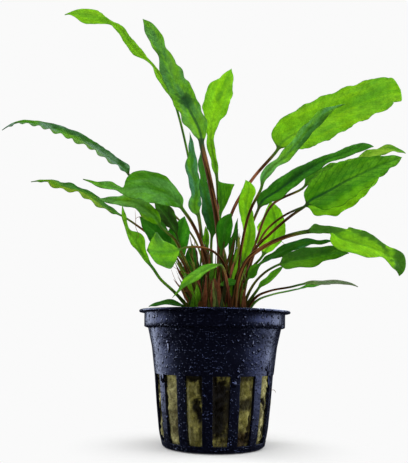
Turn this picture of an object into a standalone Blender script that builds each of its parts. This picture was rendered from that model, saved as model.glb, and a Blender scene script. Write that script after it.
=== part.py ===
"""A potted cryptocoryne: a slotted black net pot, its plug of rockwool, and the plant's leaves, each with its
stalk. Metres, +Z up. The origin is the middle of the pot's base, and the plant is seen from -Y in the front view."""

from collections import namedtuple
from math import pi, radians, sin, tan

import bmesh
import bpy
import numpy as np
from mathutils import Matrix, Vector

MM = 0.001

# Net pot, in mm
POT_HEIGHT = 47.5
FLANGE_RADIUS = 27.5
FLANGE_THICK = 1.0
COLLAR_RADIUS = 25.6
LEDGE_Z = 41.3
WALL_THICK = 1.0
FLOOR_THICK = 1.2
BASE_RADIUS = 17.0
# Outer radius of the wall at heights from the ledge down to the fillet at the base
WALL = [(24.1, 41.0), (22.6, 34.5), (21.3, 24.5), (20.4, 14.5), (19.3, 5.0), (18.1, 0.6)]
POT_STEPS = 45

# Slots between the ribs of the pot, in mm
SLOT_COUNT = 14
FIRST_RIB_ANGLE = radians(-96)
RIB_WIDTH = 3.4
SLOT_TOP = 25.0
SLOT_BOTTOM = 2.3
SLOT_TOP_RADIUS = 21.3
SLOT_BOTTOM_RADIUS = 18.8
FLOOR_SLOT_WIDTH = 1.8
FLOOR_SLOT_INNER = 8.0
FLOOR_SLOT_OUTER = 14.0

# Rockwool plug, in mm
PLUG_GAP = 0.3
PLUG_TOP = 44.5
PLUG_STEPS = 24

# Leaves, in mm
LEAF_FOOT = PLUG_TOP + 0.3
BLADE_HALF_THICK = 0.35
RING_POINTS = 8
STALK_RING_SPACING = 13.0
BLADE_RING_SPACING = 5.0
TIP_CROWDING = 1.3

COLOURS = {
    "pot plastic": ((0.006, 0.006, 0.012), 0.3),
    "rockwool": ((0.2, 0.18, 0.06), 0.95),
    "leaf bright": ((0.12, 0.38, 0.02), 0.4),
    "leaf mid": ((0.05, 0.24, 0.02), 0.4),
    "leaf dark": ((0.02, 0.12, 0.01), 0.4),
}

# A leaf: its colour, the stalk's radius, the stalk's route from the rockwool to the foot of the blade, then the
# blade's midrib with its half widths to the left and right of it (one number where they are equal), its tip, the
# way its upper face looks from foot to tip, and its fold in degrees.
Leaf = namedtuple("Leaf", "colour radius stalk blade tip faces fold", defaults=(((0, -1, 0),), 12))

LEAVES = {
    "leaf_tall_left": Leaf(
        "leaf mid", 1.0,
        [(2.5, -5), (2, -8, 65), (0, -9, 82.5), (-3, -8, 97.5), (-5.5, -6.5, 108.5)],
        [(-6, -6, 112.5, 2.4), (-7.5, -5, 117, 4), (-10, -4, 122, 4.1), (-13, -2, 128.5, 4.6),
         (-16, 0, 135.5, 4.2), (-19, 2, 142, 3.8), (-21.5, 3.5, 149, 2.3), (-24, 4.5, 154, 2.8),
         (-27, 5.5, 160, 2.5)],
        (-30.5, 6, 165), [(0, -1, 0.1)]),
    "leaf_far_left": Leaf(
        "leaf bright", 0.5,
        [(-3, 9), (-6, 16, 82), (-17, 22, 133)],
        [(-21, 24, 142.5, 1.7), (-24, 25, 147.5, 1.7), (-29, 27, 155.5, 0.6), (-35, 29, 161, 2.1),
         (-39, 30.5, 166.5, 2.1), (-45, 32.5, 175, 1.7), (-49, 33.5, 177.5, 1.5), (-54.5, 35, 179.5, 4.3),
         (-61, 36, 182, 5.2), (-66, 36, 183, 2.4)],
        (-70, 36, 182.5), [(0, -1, 0.3), (-0.3, -0.8, 0.6)]),
    "leaf_upright_centre": Leaf(
        "leaf bright", 0.6,
        [(1, 6), (0.5, 11, 98)],
        [(-0.5, 12, 105.5, 1.2), (-2, 12.5, 112.5, 1.5), (-2.5, 13, 116.5, 1.5), (-2.5, 13.5, 120, 2),
         (-2, 14.5, 124.5, 3.4), (-1, 15.5, 129, 4.8), (0, 16.5, 134, 5.7), (1.5, 18, 139.5, 5.3),
         (4, 19, 145, 3)],
        (6, 20, 150), [(0, -1, 0), (-0.25, -1, 0.1)]),
    "leaf_pointing_right": Leaf(
        "leaf mid", 0.6,
        [(3, 2), (1.5, 4, 70.5), (1.5, 5, 83)],
        [(2, 6, 87, 0.8, 1.5), (1.8, 6.5, 91, 1.1, 3.6), (1.6, 7, 94, 1, 5.5), (1.4, 7.2, 95.3, 0.8, 6.2),
         (1.2, 7.5, 97.2, 0.4, 1.2)],
        (0.8, 8, 99), [(-0.3, -1, 0.1)]),
    "leaf_short_centre": Leaf(
        "leaf dark", 0.5,
        [(0.5, -10.5), (2, -13.5, 66.5)],
        [(2.5, -14.5, 70, 1.8), (3, -16, 73.5, 2.8), (3.5, -16.5, 77, 2.6)],
        (5.5, -17, 80.5), [(0.2, -1, 0.3)]),
    "leaf_dark_centre": Leaf(
        "leaf dark", 0.5,
        [(-0.5, -1), (-1.5, -2, 65), (-1.5, -3, 73)],
        [(-1, -3.5, 77.5, 2.2), (-2, -4, 82.5, 2.7), (-3.5, -4, 88, 2), (-4.5, -3.5, 93.5, 1.6),
         (-5, -3, 99, 1.4), (-5.5, -2, 103.5, 1.2)],
        (-5.5, -1, 109.5), [(-0.2, -1, 0)]),
    "leaf_upright_left": Leaf(
        "leaf mid", 0.4,
        [(-2.5, -5), (-4.5, -4, 65), (-6.5, -3.5, 81.5)],
        [(-7.5, -3, 84, 1.7), (-8, -2.5, 86.5, 2.5), (-7.5, -1, 91.5, 1.9), (-8.5, 0.5, 97, 2.3),
         (-9.5, 2, 102.5, 2.2), (-9.5, 3.5, 109, 1.4), (-10, 4.5, 113, 0.7)],
        (-10.5, 5, 117), [(0.3, -1, 0)]),
    "leaf_small_back": Leaf(
        "leaf bright", 0.5,
        [(-2, 8), (-3, 10, 71)],
        [(-3.5, 11, 74.5, 1.2), (-3.5, 11, 77, 1.3)],
        (-4, 12, 81), [(0.1, -1, 0.2)]),
    "leaf_broad_left": Leaf(
        "leaf mid", 0.6,
        [(-1, -8), (-2.5, -11, 61), (-5, -14, 70.5), (-8.5, -16, 77.5), (-11.5, -18, 81.5)],
        [(-13, -18.5, 83.5, 2.2, 2.6), (-16, -19, 86, 4.3, 4), (-20, -20, 87.5, 5.6, 5.9),
         (-24.5, -21, 88.5, 5.8, 6.2), (-28.5, -22, 88, 4.8, 4.8), (-30.5, -22.3, 87.5, 3.4, 3.1),
         (-31.7, -22.5, 87.3, 2, 1.2), (-33.7, -22.8, 87.6, 1.2, 1.3), (-36.3, -23, 88, 1.6, 2),
         (-40.5, -24, 88.9, 1.1, 1.3)],
        (-45.5, -24, 90.5), [(0.1, -1, 0.3), (0.1, -1, 0.25), (0.2, -0.8, 0.7)]),
    "leaf_long_left": Leaf(
        "leaf mid", 0.4,
        [(-3.5, 5), (-7, 9, 73), (-20, 14, 89), (-34.5, 18, 101.5)],
        [(-38, 18.5, 106, 1.8, 2.8), (-43.5, 19, 110, 2.8), (-48.5, 20, 114, 3), (-54, 20.5, 117, 3.6),
         (-59.5, 21.5, 120, 4), (-65, 22, 122.5, 3.8), (-71.5, 23, 125, 3.4), (-78, 23.5, 126.5, 2.6),
         (-84, 24, 127, 1.8)],
        (-91, 24, 123.5), [(0, -0.6, 0.8)]),
    "leaf_low_long_left": Leaf(
        "leaf mid", 0.4,
        [(-6, 1), (-14.5, 2, 67), (-26, 2, 76.5), (-34, 2, 82)],
        [(-38.5, 2, 84.3, 1.1), (-43, 2, 86.8, 2.1, 1.8), (-47, 1.5, 89.5, 2.5), (-51.5, 1, 92, 1.9),
         (-55.5, 0.5, 93, 2.7), (-60, 0, 94, 2.4), (-64, 0, 95.5, 1.2)],
        (-70, -1, 95), [(0, -0.7, 0.7)]),
    "leaf_under_broad_left": Leaf(
        "leaf bright", 0.5,
        [(-4, -9), (-7.5, -12, 57.5), (-11.5, -15, 66), (-14, -16, 71), (-19, -16, 75.5)],
        [(-20.5, -16, 78, 2.5, 1.5), (-22.5, -15.5, 80.5, 3.6, 2), (-25.5, -15, 82.7, 2.9, 2.8),
         (-29, -14.5, 84.5, 2.4, 3), (-33, -14, 85.2, 2.4, 2.8), (-36.5, -13, 85.6, 2, 1.6),
         (-40, -13, 85.9, 0.9, 0.5)],
        (-42.5, -13, 86.4), [(0, -1, 0.4)]),
    "leaf_dark_left": Leaf(
        "leaf dark", 0.4,
        [(-7, -4), (-11.5, -6, 64), (-15.5, -6.5, 69)],
        [(-18, -7, 71.5, 2.7), (-21, -8, 74.5, 4.4), (-24, -9, 77, 3)],
        (-27.5, -9.5, 80.5), [(0.2, -1, 0.2)]),
    "leaf_bright_front": Leaf(
        "leaf bright", 0.4,
        [(5, -8), (4, -13, 61), (0, -17, 66.5), (-5, -20, 68), (-10.5, -22, 67.5), (-11.5, -22.5, 67)],
        [(-13.5, -25, 66, 1.9, 1.8), (-16, -29, 65, 5.1, 4.6), (-18.5, -32.5, 64.5, 5.9, 6.4),
         (-20.5, -35.5, 64.5, 3.7, 2.8)],
        (-21.5, -37, 64.5), [(0.6, -0.8, 0.3)]),
    "leaf_dark_inner": Leaf(
        "leaf dark", 0.5,
        [(-5.5, -2), (-10.5, -3, 62.5), (-12, -3, 65)],
        [(-12.5, -3, 68, 1.9), (-13.5, -3, 72, 4), (-13, -3, 76.5, 3.7)],
        (-11.5, -3, 82), [(-0.2, -1, 0)]),
    "leaf_low_left": Leaf(
        "leaf bright", 0.5,
        [(-6.5, -9), (-11.5, -12, 50.5), (-14.5, -16, 53.5), (-18.5, -19, 57), (-21, -22, 60.5)],
        [(-24, -23.5, 64, 0.8, 1.6), (-25.5, -24.5, 66.5, 1.1, 2.8), (-27, -25.5, 69.5, 1.8, 2.8),
         (-29, -26.5, 72, 1.1, 1.2), (-30, -27.5, 75, 0.8, 0.6), (-30.5, -28.5, 77.5, 0.6)],
        (-31, -29, 80.5), [(0.3, -0.9, 0.2)]),
    "leaf_crossing_front": Leaf(
        "leaf mid", 0.4,
        [(5, -14), (4, -19, 56.5), (2, -23.5, 61.5)],
        [(-1, -25, 61, 1.2), (-3.5, -26.5, 59.5, 1.6), (-6.5, -28.5, 57.5, 1.8), (-9, -30, 55, 1.4),
         (-11, -31, 53, 0.7)],
        (-13.5, -32, 50), [(0.1, -0.8, 0.6)]),
    "leaf_small_curled": Leaf(
        "leaf dark", 0.35,
        [(-1.5, -15), (0.5, -14.5, 54), (1.5, -14.5, 55.5)],
        [(3.5, -15, 56, 1.5), (5.5, -15.5, 56.5, 1.6)],
        (8.5, -15.5, 56.5), [(0, -1, 0.5)]),
    "leaf_small_right": Leaf(
        "leaf mid", 0.4,
        [(8, -8), (11, -13, 57.5)],
        [(12.5, -14, 59.5, 1.5), (14, -15.5, 61.5, 1.5)],
        (15.5, -17, 62.5), [(0, -1, 0.3)]),
    "leaf_light_upright": Leaf(
        "leaf bright", 0.5,
        [(9, -5), (10.5, -8, 58), (9.5, -9.5, 62)],
        [(10.5, -11, 67, 1.8), (11.5, -12, 71, 2), (12, -12.5, 75.5, 2.2), (11, -13, 79.5, 2.4),
         (10.5, -13, 83.5, 2.3), (11, -13, 87.5, 2.7), (11.5, -13, 90, 2.4)],
        (10.5, -13, 93.5), [(0.1, -1, 0.1)]),
    "leaf_yellow_back": Leaf(
        "leaf bright", 0.5,
        [(10.5, 6), (12.5, 11, 62), (18, 13, 69)],
        [(20.5, 14.5, 73, 4.3, 2.6), (23, 16, 77.5, 6.6, 4), (24, 17.5, 82.5, 7, 4.2),
         (23.5, 18.5, 87, 4.8, 3.4)],
        (22, 19.5, 93), [(-0.3, -1, 0.1)]),
    "leaf_large_upper_right": Leaf(
        "leaf bright", 0.6,
        [(2.5, -1), (2.5, -1, 68), (6.5, -1, 85), (14, 0, 97.5), (23, 1, 108.5)],
        [(25, 1, 112, 5.3), (29, 2, 115, 7.6), (36, 3.5, 119, 8.8), (43.5, 5, 123.5, 8.8),
         (52.5, 6.5, 128.5, 8.3), (61, 8, 132.5, 7.7), (67.5, 9, 136, 6.7), (70, 9.4, 136.4, 5.9),
         (72.3, 9.8, 136.8, 5.2)],
        (73.7, 10, 137), [(0.1, -1, 0.3)]),
    "leaf_narrow_right": Leaf(
        "leaf dark", 0.5,
        [(6.5, -11), (9.5, -16, 71.5), (12, -18, 81.5), (15.5, -20, 88.5)],
        [(16.5, -21, 92.5, 1.4), (19.5, -22, 96, 1.6), (24, -23, 99.5, 2.1), (30, -25, 106.5, 2.4, 2.1),
         (34.5, -26.5, 111, 2.6, 1.8), (37.5, -27.5, 113.5, 2.1, 1.1), (40.5, -27.5, 115.5, 0.9, 0.6)],
        (43.5, -28, 116.5), [(-0.3, -0.9, 0.2)]),
    "leaf_dark_folded_right": Leaf(
        "leaf dark", 0.5,
        [(6.5, 2), (11, 0, 72), (15.5, -1, 84.5)],
        [(17.5, -1, 88.5, 2.6), (22, -2, 91.5, 3.7), (27, -3, 95, 3.8), (31, -4, 98, 3.2),
         (35.5, -5, 100.5, 3), (40.5, -6.5, 103, 2.2), (45.5, -7.5, 104.5, 2), (50.5, -8, 106.5, 2.4),
         (54.5, -9, 107.5, 1.8)],
        (57.5, -9, 107.5), [(0, -0.9, 0.5)]),
    "leaf_back_right": Leaf(
        "leaf mid", 0.5,
        [(7.5, 6), (16, 11, 75.5), (22.5, 15, 90.5), (35, 18, 98)],
        [(38, 18.5, 101.5, 2.2), (41.5, 19.5, 104, 2.8), (49, 21, 107, 3.2), (57.5, 23, 110, 2.7),
         (64.5, 24, 114, 2.6), (69.5, 25, 116, 2.4), (74, 25.5, 117, 2.4)],
        (79.5, 26, 115.5), [(0, -0.8, 0.6)]),
    "leaf_broad_right": Leaf(
        "leaf mid", 0.5,
        [(8.5, -3), (13.5, -8, 68), (19.5, -11, 74.5), (26.5, -13, 80.5), (31.5, -14, 84)],
        [(33.5, -14.5, 86, 3.9), (36.5, -15, 87.5, 6.5), (40.5, -16, 89.5, 7.7), (45, -17.5, 92, 7.5),
         (49.5, -19, 94, 6.4), (54, -20.5, 96, 5.1), (58, -21.5, 97.5, 3.4), (61, -22.5, 98.5, 2.2)],
        (63.5, -23, 99.5), [(0, -1, 0.4)]),
    "leaf_under_broad_right": Leaf(
        "leaf bright", 0.4,
        [(9.5, 1), (17.5, 1, 75.5), (24.5, 0, 82.5), (33, -1, 86.5)],
        [(35.5, -1, 87, 3.1), (38.5, -1.5, 87, 5.3), (43, -2, 88, 6.1), (47.5, -3, 90, 5.5),
         (52, -3.5, 93, 4.6), (56, -4, 95.5, 3.3)],
        (61.5, -4, 99.5), [(0, -1, 0.4)]),
    "leaf_drooping_right": Leaf(
        "leaf bright", 0.7,
        [(6.5, -17), (10, -21, 62.5), (15.5, -23, 67.5), (23, -25, 71), (29.5, -27, 72.5)],
        [(32.2, -27.7, 72.6, 2.9, 0.7), (34, -28.3, 72.5, 2.4, 0.7), (37, -29.2, 72.3, 2.8, 0.9),
         (38.5, -29.7, 71.8, 3.2, 2.5), (40.5, -30.5, 70, 5.2), (44.5, -31.5, 68.5, 5.9),
         (49, -32.5, 67, 5, 5.2), (53.5, -33, 65, 3.6, 2.9), (57, -34, 62.5, 3.4, 3),
         (58.5, -34, 60, 1.8, 2.2)],
        (58, -34, 57.5), [(0.1, -0.9, 0.6)]),
    "leaf_dark_low_right": Leaf(
        "leaf dark", 0.5,
        [(6.5, -2), (12, -1, 60.5), (16, 0, 64.5)],
        [(19.5, 0.5, 67, 1.4), (24.5, 1, 69.5, 2.2), (29.5, 1.5, 72, 2.3), (35, 2.5, 73.5, 1.8),
         (40, 3.5, 74, 1.2)],
        (45, 4, 74.5), [(0, -0.8, 0.6)]),
    "leaf_green_low_right": Leaf(
        "leaf mid", 0.4,
        [(9, -9), (13, -12, 55.5), (17, -15, 60), (21.5, -18, 62.5)],
        [(23.5, -18.5, 63, 2.6), (27, -19.5, 64, 3.9), (31, -20.5, 64.5, 4.1), (35.5, -21.5, 65.5, 3.7),
         (39.5, -23, 66, 2.8)],
        (44.5, -24, 66), [(0, -0.9, 0.5)]),
    "leaf_strip_right": Leaf(
        "leaf mid", 0.4,
        [(8, -13), (14.5, -17.5, 54)],
        [(16, -18.5, 56, 1.1), (19, -20, 58, 1.2), (21, -20.5, 60, 1)],
        (23, -21.5, 62), [(0, -0.9, 0.5)]),
    "leaf_thin_low_right": Leaf(
        "leaf mid", 0.35,
        [(10, -11), (14, -15, 51.5), (18.5, -19, 53.5), (25, -24, 54.5), (27.5, -27, 55)],
        [(30.5, -28.5, 55.5, 0.8), (34.5, -30, 55.5, 1.1), (39, -31.5, 55.5, 1), (42.5, -33, 55, 0.6)],
        (45, -34, 54), [(0, -0.8, 0.7)]),
    "leaf_thin_low_back": Leaf(
        "leaf mid", 0.35,
        [(11, 4), (15.5, 7, 51.5), (22, 12, 54.5), (29.5, 17, 56.5)],
        [(35, 20, 58, 0.6), (40.5, 23, 59.5, 0.9)],
        (47, 26, 60), [(0, -0.8, 0.7)]),
    "leaf_over_rim": Leaf(
        "leaf dark", 0.35,
        [(-9.5, -5.5), (-10.5, -6, 48)],
        [(-13, -7, 49.3, 1.1), (-17, -8, 49.6, 1.7), (-20.5, -8, 49.2, 1.3)],
        (-23.5, -7, 48.4), [(0, -0.7, 0.8)]),
    "leaf_dark_upper_left": Leaf(
        "leaf dark", 0.35,
        [(-9.2, -3.4), (-10.8, -4.6, 62), (-12.8, -5, 70), (-14, -5.2, 74)],
        [(-15, -5.3, 77, 1.6), (-17, -5.5, 80, 3.1), (-19.3, -6, 83, 3)],
        (-22.5, -6.5, 86.5), [(0.2, -1, 0.2)]),
    "leaf_dark_behind": Leaf(
        "leaf dark", 0.4,
        [(-8.6, -1.2), (-9.2, -1, 57)],
        [(-9.2, -0.8, 61, 1.6), (-9, -0.6, 65, 2.6), (-8.7, -0.5, 68.5, 2.2)],
        (-8.5, -0.3, 72), [(0, -1, 0)]),
    "leaf_narrow_inner": Leaf(
        "leaf dark", 0.35,
        [(5.2, -5.2), (5, -8, 63)],
        [(5.6, -8.8, 68, 0.9), (6.3, -9, 72, 1.1), (7, -9, 75.5, 0.8)],
        (8, -9, 80.5), [(-0.2, -1, 0)]),
    "leaf_brown_sheath": Leaf(
        "leaf dark", 0.9,
        [(-1, -17.3), (-0.9, -17.5, 49)],
        [(-0.8, -17.6, 51.5, 2.1), (-0.5, -17.8, 54.5, 1.8)],
        (-0.2, -18, 58), [(0.1, -1, 0)]),
}


def clear_scene():
    for obj in list(bpy.data.objects):
        bpy.data.objects.remove(obj, do_unlink=True)


def new_collection(name):
    collection = bpy.data.collections.new(name)
    bpy.context.scene.collection.children.link(collection)
    return collection


def make_materials():
    materials = {}
    for name, (colour, roughness) in COLOURS.items():
        material = bpy.data.materials.new(name)
        material.use_nodes = True
        shader = material.node_tree.nodes["Principled BSDF"]
        shader.inputs["Base Color"].default_value = (*colour, 1)
        shader.inputs["Roughness"].default_value = roughness
        shader.inputs["Metallic"].default_value = 0
        materials[name] = material
    return materials


def add_object(name, mesh, collection, material=None):
    obj = bpy.data.objects.new(name, mesh)
    collection.objects.link(obj)
    if material:
        mesh.materials.append(material)
    return obj


def turned(name, profile, steps, collection, material):
    """A body turned about Z from a profile of (radius, height) in mm that starts and ends on the axis."""
    mesh = bpy.data.meshes.new(name)
    points = [(radius * MM, 0, height * MM) for radius, height in profile]
    mesh.from_pydata(points, [(i, i + 1) for i in range(len(points) - 1)], [])
    obj = add_object(name, mesh, collection, material)
    screw = obj.modifiers.new("turn", "SCREW")
    screw.steps = screw.render_steps = steps
    screw.use_merge_vertices = True
    screw.merge_threshold = 1e-5
    screw.use_smooth_shade = True
    return obj


def pot_profile():
    """The pot's section, from the inner floor up the inside, over the flange and down the outside."""
    inner_wall = [(radius - WALL_THICK, max(height, FLOOR_THICK + 0.8)) for radius, height in WALL[:-1]]
    inside = [(0, FLOOR_THICK), (BASE_RADIUS - 0.6, FLOOR_THICK)]
    inside += reversed(inner_wall)
    inside += [(COLLAR_RADIUS - WALL_THICK, LEDGE_Z + 0.8), (COLLAR_RADIUS - WALL_THICK, POT_HEIGHT)]
    outside = [
        (FLANGE_RADIUS - 0.3, POT_HEIGHT),
        (FLANGE_RADIUS, POT_HEIGHT - FLANGE_THICK / 2),
        (FLANGE_RADIUS - 0.3, POT_HEIGHT - FLANGE_THICK),
        (COLLAR_RADIUS, POT_HEIGHT - FLANGE_THICK),
        (COLLAR_RADIUS - 0.1, LEDGE_Z),
    ]
    outside += WALL
    outside += [(BASE_RADIUS, 0), (0, 0)]
    return inside + outside


def box_between(bm, inner, outer, low, high, low_width, high_width, angle):
    """A box along the radius at the given angle, from inner to outer, whose width goes from low to high."""
    made = bmesh.ops.create_cube(bm, size=1)
    for vert in made["verts"]:
        x = inner if vert.co.x < 0 else outer
        z = low if vert.co.z < 0 else high
        width = low_width if vert.co.z < 0 else high_width
        vert.co = Vector((x, vert.co.y * width, z)) * MM
    bmesh.ops.rotate(bm, verts=made["verts"], matrix=Matrix.Rotation(angle, 3, "Z"))


def slot_cutter(collection):
    """The wall slots, which leave ribs of even width, and the short slots in the floor, as one cutter."""
    bm = bmesh.new()
    pitch = 2 * pi / SLOT_COUNT
    top_width = pitch * SLOT_TOP_RADIUS - RIB_WIDTH
    bottom_width = pitch * SLOT_BOTTOM_RADIUS - RIB_WIDTH
    for i in range(SLOT_COUNT):
        angle = FIRST_RIB_ANGLE + (i + 0.5) * pitch
        box_between(bm, BASE_RADIUS - 1, FLANGE_RADIUS, SLOT_BOTTOM, SLOT_TOP, bottom_width, top_width, angle)
        box_between(bm, FLOOR_SLOT_INNER, FLOOR_SLOT_OUTER, -1, FLOOR_THICK + 1,
                    FLOOR_SLOT_WIDTH, FLOOR_SLOT_WIDTH, angle)
    mesh = bpy.data.meshes.new("slot cutter")
    bm.to_mesh(mesh)
    bm.free()
    cutter = add_object("slot cutter", mesh, collection)
    cutter.hide_render = True
    cutter.display_type = "WIRE"
    return cutter


def make_pot(collection, cutters, material):
    pot = turned("pot", pot_profile(), POT_STEPS, collection, material)
    cut = pot.modifiers.new("slots", "BOOLEAN")
    cut.operation = "DIFFERENCE"
    cut.object = slot_cutter(cutters)


def make_rockwool(collection, material):
    """A plug that follows the inside of the pot at a small gap, with a slightly uneven side and a domed top."""
    side = []
    for i, (radius, height) in enumerate(WALL[:-1]):
        dent = 0.25 * (1 + sin(2.4 * i))
        side.append((radius - WALL_THICK - PLUG_GAP - dent, max(height, FLOOR_THICK + 1.2)))
    top_radius = COLLAR_RADIUS - WALL_THICK - PLUG_GAP - 1.2
    profile = [(0, PLUG_TOP), (top_radius - 2.5, PLUG_TOP), (top_radius, PLUG_TOP - 1.5)]
    profile += side
    profile += [(BASE_RADIUS - 1.5, FLOOR_THICK + PLUG_GAP), (0, FLOOR_THICK + PLUG_GAP)]
    turned("rockwool", profile, PLUG_STEPS, collection, material)


def smooth_curve(rows):
    """A smooth curve through the rows, as a function of a parameter, and the parameter's value at each row.
    Between two rows it is a cubic whose end slopes are those of a parabola through each row's neighbours."""
    knots = np.concatenate([[0], np.cumsum(np.linalg.norm(np.diff(rows[:, :3], axis=0), axis=1) ** 0.5)])
    gap = np.diff(knots)[:, None]
    step = np.diff(rows, axis=0) / gap
    slope = np.empty_like(rows)
    slope[1:-1] = (step[1:] * gap[:-1] + step[:-1] * gap[1:]) / (gap[:-1] + gap[1:])
    slope[0] = 2 * step[0] - slope[1]
    slope[-1] = 2 * step[-1] - slope[-2]

    def at(where):
        i = np.clip(np.searchsorted(knots, where, side="right") - 1, 0, len(gap) - 1)
        x = ((where - knots[i]) / gap[i, 0])[:, None]
        bend = (x**3 - 2 * x**2 + x) * slope[i] + (x**3 - x**2) * slope[i + 1]
        return rows[i] + (3 * x**2 - 2 * x**3) * (rows[i + 1] - rows[i]) + bend * gap[i]

    return at, knots


def ring_places(at, start, end, spacing, least, crowding):
    """Places for rings along the curve from start to end, at about the given spacing, closer near the end."""
    fine = np.linspace(start, end, 200)
    run = np.concatenate([[0], np.cumsum(np.linalg.norm(np.diff(at(fine)[:, :3], axis=0), axis=1))])
    count = max(round(run[-1] / spacing), least) + 1
    share = 1 - (1 - np.linspace(0, 1, count)) ** crowding
    return np.interp(share * run[-1], run, fine)


def leaf_rows(leaf):
    """The leaf's rows as x, y, z, left and right half width, from the stalk's foot to the tip, in mm."""
    rows = [(*point, LEAF_FOOT) if len(point) == 2 else point for point in leaf.stalk]
    rows = [(*point, leaf.radius, leaf.radius) for point in rows]
    rows += [(*row, row[3]) if len(row) == 4 else row for row in leaf.blade]
    return np.array([*rows, (*leaf.tip, 0, 0)], float)


def leaf_sections(leaf):
    """Rings of points from the round foot of the stalk to the thin, folded blade and its tip, in mm."""
    at, knots = smooth_curve(leaf_rows(leaf))
    foot = knots[len(leaf.stalk) - 1]
    on_stalk = ring_places(at, 0, foot, STALK_RING_SPACING, 3, 1)
    on_blade = ring_places(at, foot, knots[-1], BLADE_RING_SPACING, 5, TIP_CROWDING)
    where = np.concatenate([on_stalk[:-1], on_blade])
    stations = at(where)
    faces = np.array(leaf.faces, float)
    along_blade = np.clip((where - foot) / (knots[-1] - foot), 0, 1)
    spots = np.linspace(0, 1, len(faces))
    face = np.stack([np.interp(along_blade, spots, faces[:, axis]) for axis in range(3)], 1)
    forward = np.gradient(stations[:, :3], where, axis=0)
    forward[0] = 0, 0, 1
    forward /= np.linalg.norm(forward, axis=1, keepdims=True)
    side = np.cross(forward, face)
    side /= np.linalg.norm(side, axis=1, keepdims=True)
    up = np.cross(side, forward)
    turn = np.arange(RING_POINTS) * 2 * pi / RING_POINTS
    half_width = np.where(np.cos(turn) < 0, stations[:, 3:4], stations[:, 4:5])
    half_width = np.maximum(half_width, BLADE_HALF_THICK)
    flat = np.clip((where - foot) / (knots[len(leaf.stalk)] - foot), 0, 1)[:, None]
    flat = flat * flat * (3 - 2 * flat)
    half_thick = leaf.radius * (1 - flat) + BLADE_HALF_THICK * flat
    across = half_width * np.cos(turn)
    height = half_thick * np.sin(turn) + flat * tan(radians(leaf.fold)) * abs(across)
    return stations[:, None, :3] + side[:, None] * across[..., None] + up[:, None] * height[..., None]


def loft(name, rings, collection, material):
    """A closed body through rings that hold the same number of points."""
    bm = bmesh.new()
    loops = [[bm.verts.new(Vector(point) * MM) for point in ring] for ring in rings]
    for first, second in zip(loops, loops[1:]):
        for i in range(len(first)):
            j = (i + 1) % len(first)
            bm.faces.new((first[i], first[j], second[j], second[i]))
    bm.faces.new(loops[0])
    bm.faces.new(loops[-1])
    bmesh.ops.recalc_face_normals(bm, faces=bm.faces)
    mesh = bpy.data.meshes.new(name)
    bm.to_mesh(mesh)
    bm.free()
    obj = add_object(name, mesh, collection, material)
    mesh.shade_smooth()
    mesh.set_sharp_from_angle(angle=radians(60))
    return obj


def main():
    clear_scene()
    plant = new_collection("potted cryptocoryne")
    cutters = new_collection("cutters")
    materials = make_materials()
    make_pot(plant, cutters, materials["pot plastic"])
    make_rockwool(plant, materials["rockwool"])
    for name, leaf in LEAVES.items():
        loft(name, leaf_sections(leaf), plant, materials[leaf.colour])


main()
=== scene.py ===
"""The looks of a potted cryptocoryne: a wet black net pot, fibrous rockwool and thirty-eight veined leaves,
with the narrow young leaves and torn sheaths that fill its crown. Lengths in the tables are in mm. +Z is up,
the origin is the middle of the pot's base, and -Y faces the camera."""

from collections import namedtuple
from math import atan2, cos, pi, radians, sin, tan

import bpy
import numpy as np
from mathutils import Matrix, Vector


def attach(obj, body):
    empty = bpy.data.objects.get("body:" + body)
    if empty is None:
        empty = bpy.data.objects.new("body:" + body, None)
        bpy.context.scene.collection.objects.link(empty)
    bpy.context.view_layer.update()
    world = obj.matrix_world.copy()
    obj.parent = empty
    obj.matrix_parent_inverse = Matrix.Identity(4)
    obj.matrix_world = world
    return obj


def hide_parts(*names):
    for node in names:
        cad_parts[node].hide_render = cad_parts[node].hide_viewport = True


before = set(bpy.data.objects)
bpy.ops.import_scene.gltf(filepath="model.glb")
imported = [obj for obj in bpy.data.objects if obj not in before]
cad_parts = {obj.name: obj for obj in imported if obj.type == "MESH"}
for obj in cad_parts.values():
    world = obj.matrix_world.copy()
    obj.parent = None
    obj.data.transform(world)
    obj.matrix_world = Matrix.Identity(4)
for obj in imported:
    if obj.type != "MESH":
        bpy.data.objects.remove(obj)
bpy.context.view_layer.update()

MM = 0.001

# Camera, set so that the pot's rim and base fall where the photograph has them. Its angles are in radians
PICTURE_HEIGHT_PIXELS = 463
FOCAL_PIXELS = 652.16
HORIZON_BELOW_MIDDLE_PIXELS = 110
SENSOR_HEIGHT = 36.0
EYE = Vector((0, -240, 36.342)) * MM
CAMERA_YAW = -0.018
CAMERA_PITCH = atan2(HORIZON_BELOW_MIDDLE_PIXELS, FOCAL_PIXELS)
CAMERA_ROLL = 0.014

# Net pot, in mm. WALL is its wall's outer face, as radii and heights from the top down
POT_HEIGHT = 47.5
FLANGE_RADIUS = 27.5
FLANGE_THICK = 1.0
COLLAR_RADIUS = 25.6
COLLAR_MIDDLE_OUTSIDE = 43.5
COLLAR_MIDDLE_INSIDE = 44.5
LEDGE_Z = 41.3
WALL_THICK = 1.0
FLOOR_THICK = 1.2
BASE_RADIUS = 17.0
WALL = [(24.1, 41.0), (22.6, 34.5), (21.3, 24.5), (20.4, 14.5), (19.3, 5.0), (18.1, 0.6)]
SLOT_COUNT = 14
SLOT_PITCH = 2 * pi / SLOT_COUNT
FIRST_RIB_ANGLE = radians(-96)
RIB_WIDTH = 3.4
SLOT_TOP = 25.0
SLOT_BOTTOM = 2.3
FLOOR_SLOT_WIDTH = 1.8
FLOOR_SLOT_INNER = 8.0
FLOOR_SLOT_OUTER = 14.0
EDGE_ROUNDING = 0.15

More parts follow.
